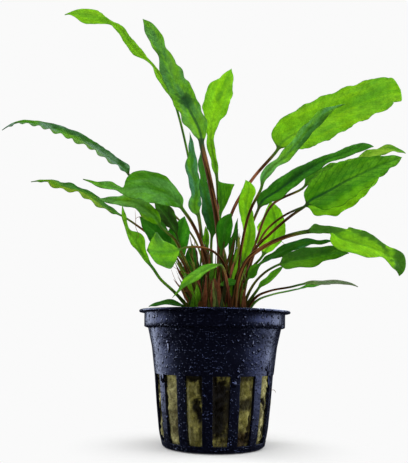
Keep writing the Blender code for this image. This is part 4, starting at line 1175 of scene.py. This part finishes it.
# Stalk colours, a darker and a lighter one for each kind, and the leaves whose stalks aren't brown
STALKS = {
    "brown": ((0.025, 0.008, 0.003), (0.16, 0.062, 0.02)),
    "reddish": ((0.05, 0.012, 0.005), (0.26, 0.09, 0.045)),
    "olive": ((0.035, 0.03, 0.005), (0.16, 0.17, 0.025)),
    "green": ((0.02, 0.07, 0.005), (0.09, 0.22, 0.012)),
}
STALK_OF = {
    "reddish": ("leaf_upright_centre", "leaf_short_centre", "leaf_large_upper_right", "leaf_light_upright",
                "leaf_small_right", "leaf_crossing_front"),
    "olive": ("leaf_dark_centre", "leaf_small_back", "leaf_dark_inner", "leaf_yellow_back",
              "leaf_green_low_right", "leaf_strip_right", "leaf_long_left", "leaf_under_broad_left"),
    "green": ("leaf_pointing_right", "leaf_low_left", "leaf_small_curled", "leaf_over_rim",
              "leaf_dark_low_right", "leaf_thin_low_back", "leaf_far_left", "leaf_dark_behind"),
}

# What sets single leaves apart from their tone: their colours, how much lighter these are, and the shares of
# painted sheen, midrib and veins
LOOKS = {
    "leaf_tall_left": dict(FRESH, Sheen_Share=0.6, Midrib=(0.012, 0.06, 0.02), Midrib_Share=0.8,
                           Deep=(0.016, 0.1, 0.02)),
    "leaf_long_left": dict(Light=(0.12, 0.25, 0.025), gain=0.95, Sheen_Share=0.95,
                           Sheen=(0.115, 0.195, 0.15)),
    "leaf_upright_centre": dict(gain=1.3),
    "leaf_light_upright": dict(gain=1.4),
    "leaf_yellow_back": dict(gain=1.7),
    "leaf_under_broad_right": dict(gain=1.25),
    "leaf_bright_front": dict(FRESH, gain=0.8),
    "leaf_dark_low_right": dict(gain=0.6, Sheen_Share=0.5, Sheen=(0.03, 0.15, 0.06)),
    "leaf_thin_low_right": dict(Light=(0.34, 0.42, 0.16), Flesh=(0.17, 0.26, 0.06), Deep=(0.08, 0.13, 0.03),
                                Sheen=(0.16, 0.14, 0.2), Sheen_Share=0.6),
    "leaf_back_right": dict(Light=(0.25, 0.46, 0.03)),
    "leaf_dark_inner": dict(gain=2.1),
    "leaf_green_low_right": dict(gain=0.75),
    "leaf_low_long_left": dict(Light=(0.17, 0.28, 0.012), Sheen_Share=0.6, Sheen=(0.045, 0.15, 0.06)),
    "leaf_broad_left": dict(gain=0.82, Sheen_Share=0.6, Sheen=(0.095, 0.27, 0.075)),
    "leaf_under_broad_left": dict(FRESH, gain=0.85, Sheen_Share=0.6, Sheen=(0.09, 0.24, 0.09)),
    "leaf_low_left": FRESH,
    "leaf_crossing_front": dict(FRESH, Sheen_Share=0.3),
    "leaf_brown_sheath": dict(STRIPS["reddish"], gain=0.8, Sheen_Share=0.0, Midrib_Share=0.0,
                              Vein_Share=0.0),
    "leaf_dark_upper_left": dict(Deep=(0.02, 0.014, 0.005), Sheen_Share=0.0),
    "leaf_narrow_right": dict(FRESH, Sheen_Share=0.85, Sheen=(0.09, 0.3, 0.1)),
    "leaf_upright_left": dict(Sheen_Share=0.95, Sheen=(0.06, 0.2, 0.11)),
    "leaf_dark_centre": dict(Sheen_Share=0.7, Sheen=(0.04, 0.14, 0.07)),
    "leaf_broad_right": dict(Midrib=(0.01, 0.065, 0.012), Midrib_Share=0.9, Vein_Share=0.5),
    "leaf_dark_folded_right": dict(Midrib=(0.008, 0.05, 0.012), Midrib_Share=0.9),
}


def run_noise(tree, given, across_scale, along_scale, detail, roughness=0.5):
    """Noise that follows the leaf, with scales per mm across its midrib and along it."""
    across = math_node(tree, "MULTIPLY", given["Across"], across_scale)
    along = math_node(tree, "MULTIPLY", given["Along"], along_scale)
    return noise_node(tree, vector_node(tree, across, along, given["Shift"]), 1.0, detail, roughness)


def blade_green(tree, given, cloud, streak):
    """A blade's green: clouds of its deep and its plain colour, lengthwise patches and fine streaks of its
    light one, and patches of a painted bluish sheen, which stands for the lamps' reflection on the wet leaf."""
    body = mix_node(tree, step_node(tree, cloud, 0.28, 0.64, 0.3, 1.0), given["Deep"], given["Flesh"])
    body = lay_over(tree, body, given["Light"], run_noise(tree, given, 0.4, 0.05, 3.0, 0.6), 0.4, 0.66, 0.75)
    body = lay_over(tree, body, given["Light"], streak, 0.45, 0.68, 0.3)
    # Painted sheen: patches of the bluish colour in place of the lamps' reflection on the wet leaf
    sheen_patches = step_node(tree, run_noise(tree, given, 0.3, 0.07, 2.0), 0.36, 0.6)
    return mix_node(tree, math_node(tree, "MULTIPLY", sheen_patches, given["Sheen Share"]), body, given["Sheen"])


def blade_veins(tree, given, from_midrib):
    """Masks of a blade's side veins, which stand at even distances and lean towards the tip, and of the net
    of small veins between them."""
    run = math_node(tree, "SUBTRACT", given["Along"], math_node(tree, "MULTIPLY", from_midrib, VEIN_LEAN))
    turn = math_node(tree, "FRACT", math_node(tree, "DIVIDE", run, VEIN_SPACING))
    vein = step_node(tree, math_node(tree, "ABSOLUTE", math_node(tree, "SUBTRACT", turn, 0.5)), 0.3, 0.5)
    place = vector_node(tree, given["Across"], given["Along"], given["Shift"])
    cells = {"Vector": place, "Scale": NET_SCALE}
    edges = add_node(tree, "ShaderNodeTexVoronoi", cells, feature="DISTANCE_TO_EDGE").outputs["Distance"]
    net = step_node(tree, edges, 0.14, 0.02)
    return [math_node(tree, "MULTIPLY", mask, given["Blade"]) for mask in (vein, net)]


def stalk_colour(tree, given):
    """A stalk's colour: lengthwise streaks of its darker and its lighter one, greener towards the blade, and
    darkened with painted shade towards the crown."""
    streaks = run_noise(tree, given, 2.6, 0.09, 3.0)
    stalk = lay_over(tree, given["Stalk"], given["Stalk Light"], streaks, 0.45, 0.6)
    stalk = lay_over(tree, stalk, given["Midrib"], given["Along"], -7.0, 1.0, 0.8)
    # Painted shade: near-black brown where the shade value is high, mostly towards the crown
    return lay_over(tree, stalk, PAINTED_STALK_SHADE, given["Shade"], 0.0, 0.8, 0.75)


def leaf_tissue_group():
    """Colour, roughness and relief of a leaf from its place along and across the blade: its green with a
    painted sheen, side veins and a net of small ones, painted shade near the crown, darker and lighter marks
    that are partly painted shade and light, a midrib, mottling and a thin dark rim. Its stalk has colours
    of its own."""
    colour, value = "Color", "Float"
    tree, given, result = new_group("leaf tissue", {
        "Place": ("Vector", None), "Along": (value, 0.0), "Across": (value, 0.0), "Rim": (value, 0.0),
        "Blade": (value, 1.0), "Shade": (value, 0.0), "Shift": (value, 0.0),
        "Light": (colour, None), "Flesh": (colour, None), "Deep": (colour, None), "Sheen": (colour, None),
        "Sheen Share": (value, 0.0), "Midrib": (colour, None), "Midrib Share": (value, 0.5),
        "Vein Share": (value, 0.3), "Stalk": (colour, None), "Stalk Light": (colour, None),
    }, {"Colour": colour, "Roughness": value, "Relief": value})

    def times(first, second):
        return math_node(tree, "MULTIPLY", first, second)

    shifted = vector_node(tree, given["Shift"], given["Shift"], given["Shift"])
    place = {0: given["Place"], 1: shifted}
    place = add_node(tree, "ShaderNodeVectorMath", place, operation="ADD").outputs[0]
    cloud = noise_node(tree, place, CLOUD_SCALE, 3.0, 0.6)
    mottle = noise_node(tree, place, MOTTLE_SCALE, 3.0, 0.6)
    grain = noise_node(tree, place, GRAIN_SCALE, 2.0, 0.6)
    streak = run_noise(tree, given, 1.6, 0.06, 3.0, 0.65)
    from_midrib = math_node(tree, "ABSOLUTE", given["Across"])
    vein, net = blade_veins(tree, given, from_midrib)

    body = blade_green(tree, given, cloud, streak)
    body = mix_node(tree, times(vein, given["Vein Share"]), body, given["Deep"])
    body = mix_node(tree, times(net, 0.28), body, given["Deep"])
    # Painted shade and light from the shade value: near the crown, and in marks that are partly the leaf's
    # own tone
    body = lay_over(tree, body, given["Light"], given["Shade"], 0.0, -1.0, 0.9)
    body = lay_over(tree, body, given["Deep"], given["Shade"], 0.0, 1.0, 0.9)
    body = lay_over(tree, body, DARK_MARK_AND_SHADE, given["Shade"], 0.0, 1.0, 0.675)
    midrib = times(step_node(tree, from_midrib, 0.8, 0.2), step_node(tree, given["Along"], 45.0, 4.0))
    body = mix_node(tree, times(midrib, given["Midrib Share"]), body, given["Midrib"])
    tint = math_node(tree, "ADD", mottle, math_node(tree, "MULTIPLY_ADD", grain, 0.5, 0.25))
    body = add_node(tree, "ShaderNodeVectorMath", {0: body, 3: tint}, operation="SCALE").outputs[0]
    rim = math_node(tree, "MULTIPLY_ADD", mottle, 0.5, given["Rim"])
    body = lay_over(tree, body, mix_node(tree, 0.5, given["Deep"], RIM_BROWN), rim, 0.55, 0.28, 0.6)
    body = lay_over(tree, stalk_colour(tree, given), body, given["Blade"], 0.3, 0.85)

    veins = math_node(tree, "ADD", times(vein, 0.6), times(net, 0.35))
    swellings = math_node(tree, "ADD", times(streak, -0.35), times(mottle, 0.45))
    tree.links.new(body, result.inputs["Colour"])
    tree.links.new(step_node(tree, cloud, 0.3, 0.7, 0.38, 0.55), result.inputs["Roughness"])
    tree.links.new(math_node(tree, "ADD", veins, swellings), result.inputs["Relief"])
    return tree


def leaf_look(name, leaf):
    """The colours and shares that a leaf's tissue takes: those of its tone and stalk, and then its own."""
    kind = next((kind for kind, names in STALK_OF.items() if name in names), "brown")
    stalk, stalk_light = STALKS[kind]
    look = dict(TONES[leaf.tone], Stalk=stalk, Stalk_Light=stalk_light, gain=1.0)
    look.update(LOOKS.get(name, {}))
    gain = look.pop("gain")
    for key in ("Light", "Flesh", "Deep"):
        look[key] = tuple(gain * part for part in look[key])
    return look


def leaf_material(name, look, number, tissue):
    """A leaf's material: the tissue with the leaf's look, and with its pattern at a place of its own."""
    material, tree, shader = new_material(name, Specular_IOR_Level=0.045, Specular_Tint=(0.7, 1, 0.1, 1))
    look = {**PLAIN_LOOK, **look}
    look = {key: (*value, 1) if isinstance(value, tuple) else value for key, value in look.items()}
    labels = ("Along", "Across", "Rim", "Blade", "Shade")
    read = {label: attribute_node(tree, label.lower()) for label in labels}
    given = put_group(tree, tissue, Place=object_place(tree), Shift=PATTERN_STEP * number, **read, **look)
    tree.links.new(given["Colour"], shader.inputs["Base Color"])
    tree.links.new(given["Roughness"], shader.inputs["Roughness"])
    tree.links.new(bump(tree, given["Relief"], LEAF_RELIEF, LEAF_RELIEF_SHARE), shader.inputs["Normal"])
    return material


# Beads and drips on the wet pot: the size of their cells in metres, the share of the cells that hold one,
# their height, and whether they are drawn out into drips. The film of water under them has scales per metre
BEADS = [(0.00085, 0.95, 1.3, False), (0.0017, 0.55, 2.0, False), (0.0042, 0.16, 3.4, False),
         (0.0028, 0.12, 2.2, True)]
DRIP_SQUEEZE = 0.28
FILM_SCALE = 350.0
GLOSS_SCALE = 120.0
BEAD_RELIEF = 0.0009
POT_BLACK = (0.001, 0.001, 0.002, 1)
POT_BLUE_BLACK = (0.003, 0.003, 0.007, 1)


def beads_group():
    """Beads on a wet surface: round caps of random size in a share of the cells of a given size. A cap's
    height is the root of 1 - r^2, where r is the distance from its middle over its radius. Gives their
    height, and a mask of where they are."""
    tree, given, result = new_group(
        "beads", {"Place": ("Vector", None), "Cell": ("Float", 0.001), "Share": ("Float", 0.5)},
        {"Height": "Float", "Mask": "Float"})
    scale = math_node(tree, "DIVIDE", 1.0, given["Cell"])
    cells = {"Vector": given["Place"], "Scale": scale, "Randomness": 0.8}
    cells = add_node(tree, "ShaderNodeTexVoronoi", cells)
    channels = add_node(tree, "ShaderNodeSeparateColor", {0: cells.outputs["Color"]})
    present = math_node(tree, "LESS_THAN", channels.outputs[1], given["Share"])
    size = math_node(tree, "MULTIPLY_ADD", channels.outputs[0], 0.28, 0.12)
    share = math_node(tree, "DIVIDE", cells.outputs["Distance"], size)
    left = math_node(tree, "SUBTRACT", 1.0, math_node(tree, "POWER", share, 2.0))
    cap = math_node(tree, "SQRT", math_node(tree, "MAXIMUM", left, 0.0))
    cap = math_node(tree, "MULTIPLY", cap, present)
    height = math_node(tree, "MULTIPLY", cap, size)
    tree.links.new(math_node(tree, "MULTIPLY", height, 2.0), result.inputs["Height"])
    tree.links.new(step_node(tree, cap, 0.05, 0.4), result.inputs["Mask"])
    return tree


def pot_material():
    """Wet black moulded plastic: fine beads, larger drops and a few drips as relief, and an uneven film."""
    material, tree, shader = new_material(
        "pot_plastic", Specular_IOR_Level=0.4, Specular_Tint=(0.4, 0.48, 1, 1))
    place = object_place(tree)
    drawn_out = squeeze(tree, place, DRIP_SQUEEZE)
    beads = beads_group()
    height, wet = 0.0, 0.0
    for cell, share, tall, drips in BEADS:
        layer = put_group(tree, beads, Place=drawn_out if drips else place, Cell=cell, Share=share)
        height = math_node(tree, "MAXIMUM", height, math_node(tree, "MULTIPLY", layer["Height"], tall))
        wet = math_node(tree, "MAXIMUM", wet, layer["Mask"])
    film = noise_node(tree, place, FILM_SCALE, 4.0, 0.6)
    height = math_node(tree, "MULTIPLY_ADD", film, 0.2, height)
    rough = step_node(tree, noise_node(tree, place, GLOSS_SCALE, 3.0), 0.3, 0.7, 0.2, 0.36)
    rough = math_node(tree, "MULTIPLY", rough, math_node(tree, "MULTIPLY_ADD", wet, -0.65, 1.0))
    tree.links.new(mix_node(tree, film, POT_BLACK, POT_BLUE_BLACK), shader.inputs["Base Color"])
    tree.links.new(rough, shader.inputs["Roughness"])
    tree.links.new(bump(tree, height, BEAD_RELIEF), shader.inputs["Normal"])
    return material


# Rockwool colours, as linear red, green and blue, its patterns' scales per metre, and its relief in metres
DEEP_OLIVE = (0.085, 0.076, 0.015)
OLIVE = (0.24, 0.22, 0.05)
TAN = (0.3, 0.28, 0.11)
PALE_TUFT = (0.38, 0.36, 0.17)
RUST = (0.07, 0.03, 0.006, 1)
STAIN = (0.03, 0.018, 0.004, 1)
# Near black for dark roots and for painted shade in hollows
DARK_ROOTS_AND_SHADE = (0.004, 0.0025, 0.001, 1)
STRAND_SCALE = 900.0
TUFT_SCALE = 200.0
STAIN_SCALE = 110.0
STRAND_SQUEEZE = 0.4
WOOL_RELIEF = 0.0006


def rockwool_material(name, gain):
    """Wet olive wool with tan strands, brown stains and pale greyish tufts, near black where it is dark: dark
    roots, and painted shade in its hollows, under the slots' tops and on its top.
    """
    material, tree, shader = new_material(name, Roughness=0.8, Specular_IOR_Level=0.15)
    place = object_place(tree)
    strand = noise_node(tree, squeeze(tree, place, STRAND_SQUEEZE), STRAND_SCALE, 4.0, 0.7)
    cloud = noise_node(tree, place, TUFT_SCALE, 4.0, 0.65)
    stain = noise_node(tree, place, STAIN_SCALE, 4.0, 0.65)
    dark, rust = attribute_node(tree, "dark"), attribute_node(tree, "rust")
    deep, olive, tan_strand, pale = (
        (*(gain * part for part in colour), 1) for colour in (DEEP_OLIVE, OLIVE, TAN, PALE_TUFT))
    colour = lay_over(tree, deep, olive, cloud, 0.35, 0.65)
    colour = lay_over(tree, colour, tan_strand, strand, 0.45, 0.75, 0.6)
    colour = lay_over(tree, colour, pale, rust, 0.0, -1.0, 0.8)
    colour = lay_over(tree, colour, RUST, rust, 0.0, 1.0, 0.8)
    colour = lay_over(tree, colour, STAIN, stain, 0.5, 0.68, 0.8)
    # Near black where the wool is dark: partly dark roots and stains, partly painted shade
    colour = lay_over(tree, colour, DARK_ROOTS_AND_SHADE, dark, 0.05, 0.85, 0.96)
    tree.links.new(colour, shader.inputs["Base Color"])
    tree.links.new(bump(tree, strand, WOOL_RELIEF), shader.inputs["Normal"])
    return material


# Studio lamps: name, azimuth and elevation in degrees, distance and size in metres, and power. Azimuth 0 is
# the camera's side and 90 the right. Softboxes only light what is matt, and the others only show as
# reflections
SOFTBOXES = [
    ("left softbox", -106, 18, 0.6, (0.25, 0.7), 3.5),
    ("right softbox", 92, 18, 0.6, (0.8, 0.7), 6),
    ("top softbox", 0, 75, 0.7, (0.6, 0.6), 2.5),
    ("front softbox", -20, 35, 1.2, (0.8, 0.5), 3),
]
REFLECTIONS = [
    ("left reflection", -112, 16, 0.6, (0.7, 0.6), 4.6),
    ("right reflection", 95, 16, 0.6, (0.8, 0.6), 6.2),
    ("left sparkle", -28, 55, 0.6, (0.12, 0.12), 2.4),
    ("right sparkle", 32, 48, 0.6, (0.12, 0.12), 2.0),
    ("back reflection", 165, 35, 0.6, (0.35, 0.35), 2.5),
]
LEAVES_AIM = Vector((0, 0, 0.07))
POT_AIM = Vector((0, 0, 0.02))
REFLECTION_BLUE = (0.72, 0.8, 1.0)

# Background and floor, in metres. The floor's shade under the pot ends between the first two distances from
# its middle, and to all but the camera the floor itself ends between the other two
BACKGROUND = (0.956, 0.956, 0.956, 1)
FILL = (0.4, 0.4, 0.4, 1)
DIM_BLUE = (0.018, 0.02, 0.035, 1)
FLOOR_COLOUR = (0.675, 0.675, 0.675, 1)
BLACK = (0, 0, 0, 1)
FLOOR_RADIUS = 1.5
FLOOR_GAP = 0.00015
SHADE_ENDS = (0.01, 0.055)
FLOOR_ENDS = (0.15, 0.5)


def add_camera():
    """A camera at the photograph's eye, turned by yaw and pitch and then rolled."""
    level = Vector((sin(CAMERA_YAW), cos(CAMERA_YAW), 0))
    forward = level * cos(CAMERA_PITCH) + Vector((0, 0, sin(CAMERA_PITCH)))
    right = Vector((cos(CAMERA_YAW), -sin(CAMERA_YAW), 0))
    up = right.cross(forward)
    rolled_right = cos(CAMERA_ROLL) * right + sin(CAMERA_ROLL) * up
    rolled_up = cos(CAMERA_ROLL) * up - sin(CAMERA_ROLL) * right
    data = bpy.data.cameras.new("camera")
    data.sensor_fit = "VERTICAL"
    data.sensor_height = SENSOR_HEIGHT
    data.lens = FOCAL_PIXELS * SENSOR_HEIGHT / PICTURE_HEIGHT_PIXELS
    camera = bpy.data.objects.new("camera", data)
    bpy.context.scene.collection.objects.link(camera)
    turn = Matrix((rolled_right, rolled_up, -forward)).transposed()
    camera.matrix_world = Matrix.Translation(EYE) @ turn.to_4x4()
    bpy.context.scene.camera = camera


def add_lamp(name, azimuth, elevation, distance, size, power, reflected):
    """A rectangular lamp that faces the leaves, or the pot where it shows only as a reflection."""
    data = bpy.data.lights.new(name, "AREA")
    data.shape = "RECTANGLE"
    data.size, data.size_y = size
    data.energy = power
    lamp = bpy.data.objects.new(name, data)
    bpy.context.scene.collection.objects.link(lamp)
    if reflected:
        data.color = REFLECTION_BLUE
    lamp.visible_diffuse = not reflected
    lamp.visible_glossy = reflected
    around, above = radians(azimuth), radians(elevation)
    away = Vector((sin(around) * cos(above), -cos(around) * cos(above), sin(above)))
    lamp.location = (POT_AIM if reflected else LEAVES_AIM) + away * distance
    lamp.rotation_euler = away.to_track_quat("Z", "Y").to_euler()


def add_world():
    """White for the camera, dim in reflections and an even fill for everything else."""
    world = bpy.data.worlds.new("studio")
    bpy.context.scene.world = world
    world.use_nodes = True
    tree = world.node_tree
    rays = add_node(tree, "ShaderNodeLightPath").outputs
    fill = mix_node(tree, rays["Is Glossy Ray"], FILL, DIM_BLUE)
    seen = mix_node(tree, rays["Is Camera Ray"], fill, BACKGROUND)
    tree.links.new(seen, tree.nodes["Background"].inputs["Color"])


def add_floor():
    """A pale round floor. To the camera it glows as white as the background, except close around the pot,
    and to other rays it ends in a soft fade."""
    bpy.ops.mesh.primitive_circle_add(
        vertices=96, radius=FLOOR_RADIUS, fill_type="NGON", location=(0, 0, -FLOOR_GAP))
    floor = bpy.context.object
    floor.name = "floor"
    material, tree, shader = new_material(
        "pale floor", Roughness=1.0, Specular_IOR_Level=0, Emission_Strength=1)
    place = {0: object_place(tree)}
    reach = add_node(tree, "ShaderNodeVectorMath", place, operation="LENGTH").outputs["Value"]
    seen = add_node(tree, "ShaderNodeLightPath").outputs["Is Camera Ray"]
    glow = math_node(tree, "MULTIPLY", seen, step_node(tree, reach, *SHADE_ENDS))
    alpha = math_node(tree, "MAXIMUM", seen, step_node(tree, reach, *FLOOR_ENDS[::-1]))
    tree.links.new(mix_node(tree, glow, FLOOR_COLOUR, BLACK), shader.inputs["Base Color"])
    tree.links.new(mix_node(tree, glow, BLACK, BACKGROUND), shader.inputs["Emission Color"])
    tree.links.new(alpha, shader.inputs["Alpha"])
    material.cycles.emission_sampling = "NONE"
    floor.data.materials.append(material)
    floor.visible_glossy = False
    floor.visible_shadow = False


def main():
    """The studio, the pot with its rockwool, the leaves, and the small parts of the crown."""
    add_camera()
    add_world()
    bpy.context.scene.view_settings.view_transform = "Standard"
    for lamp in SOFTBOXES:
        add_lamp(*lamp, reflected=False)
    for lamp in REFLECTIONS:
        add_lamp(*lamp, reflected=True)
    add_floor()
    make_pot(pot_material())
    make_rockwool(rockwool_material("rockwool", 1.0))
    make_fibres(rockwool_material("rockwool fibres", 1.3))
    tissue = leaf_tissue_group()
    for number, (name, leaf) in enumerate(LEAVES.items()):
        make_leaf(name, leaf, number, leaf_material(name, leaf_look(name, leaf), number, tissue))
    make_strips(tissue)
    make_threads(tissue)


main()
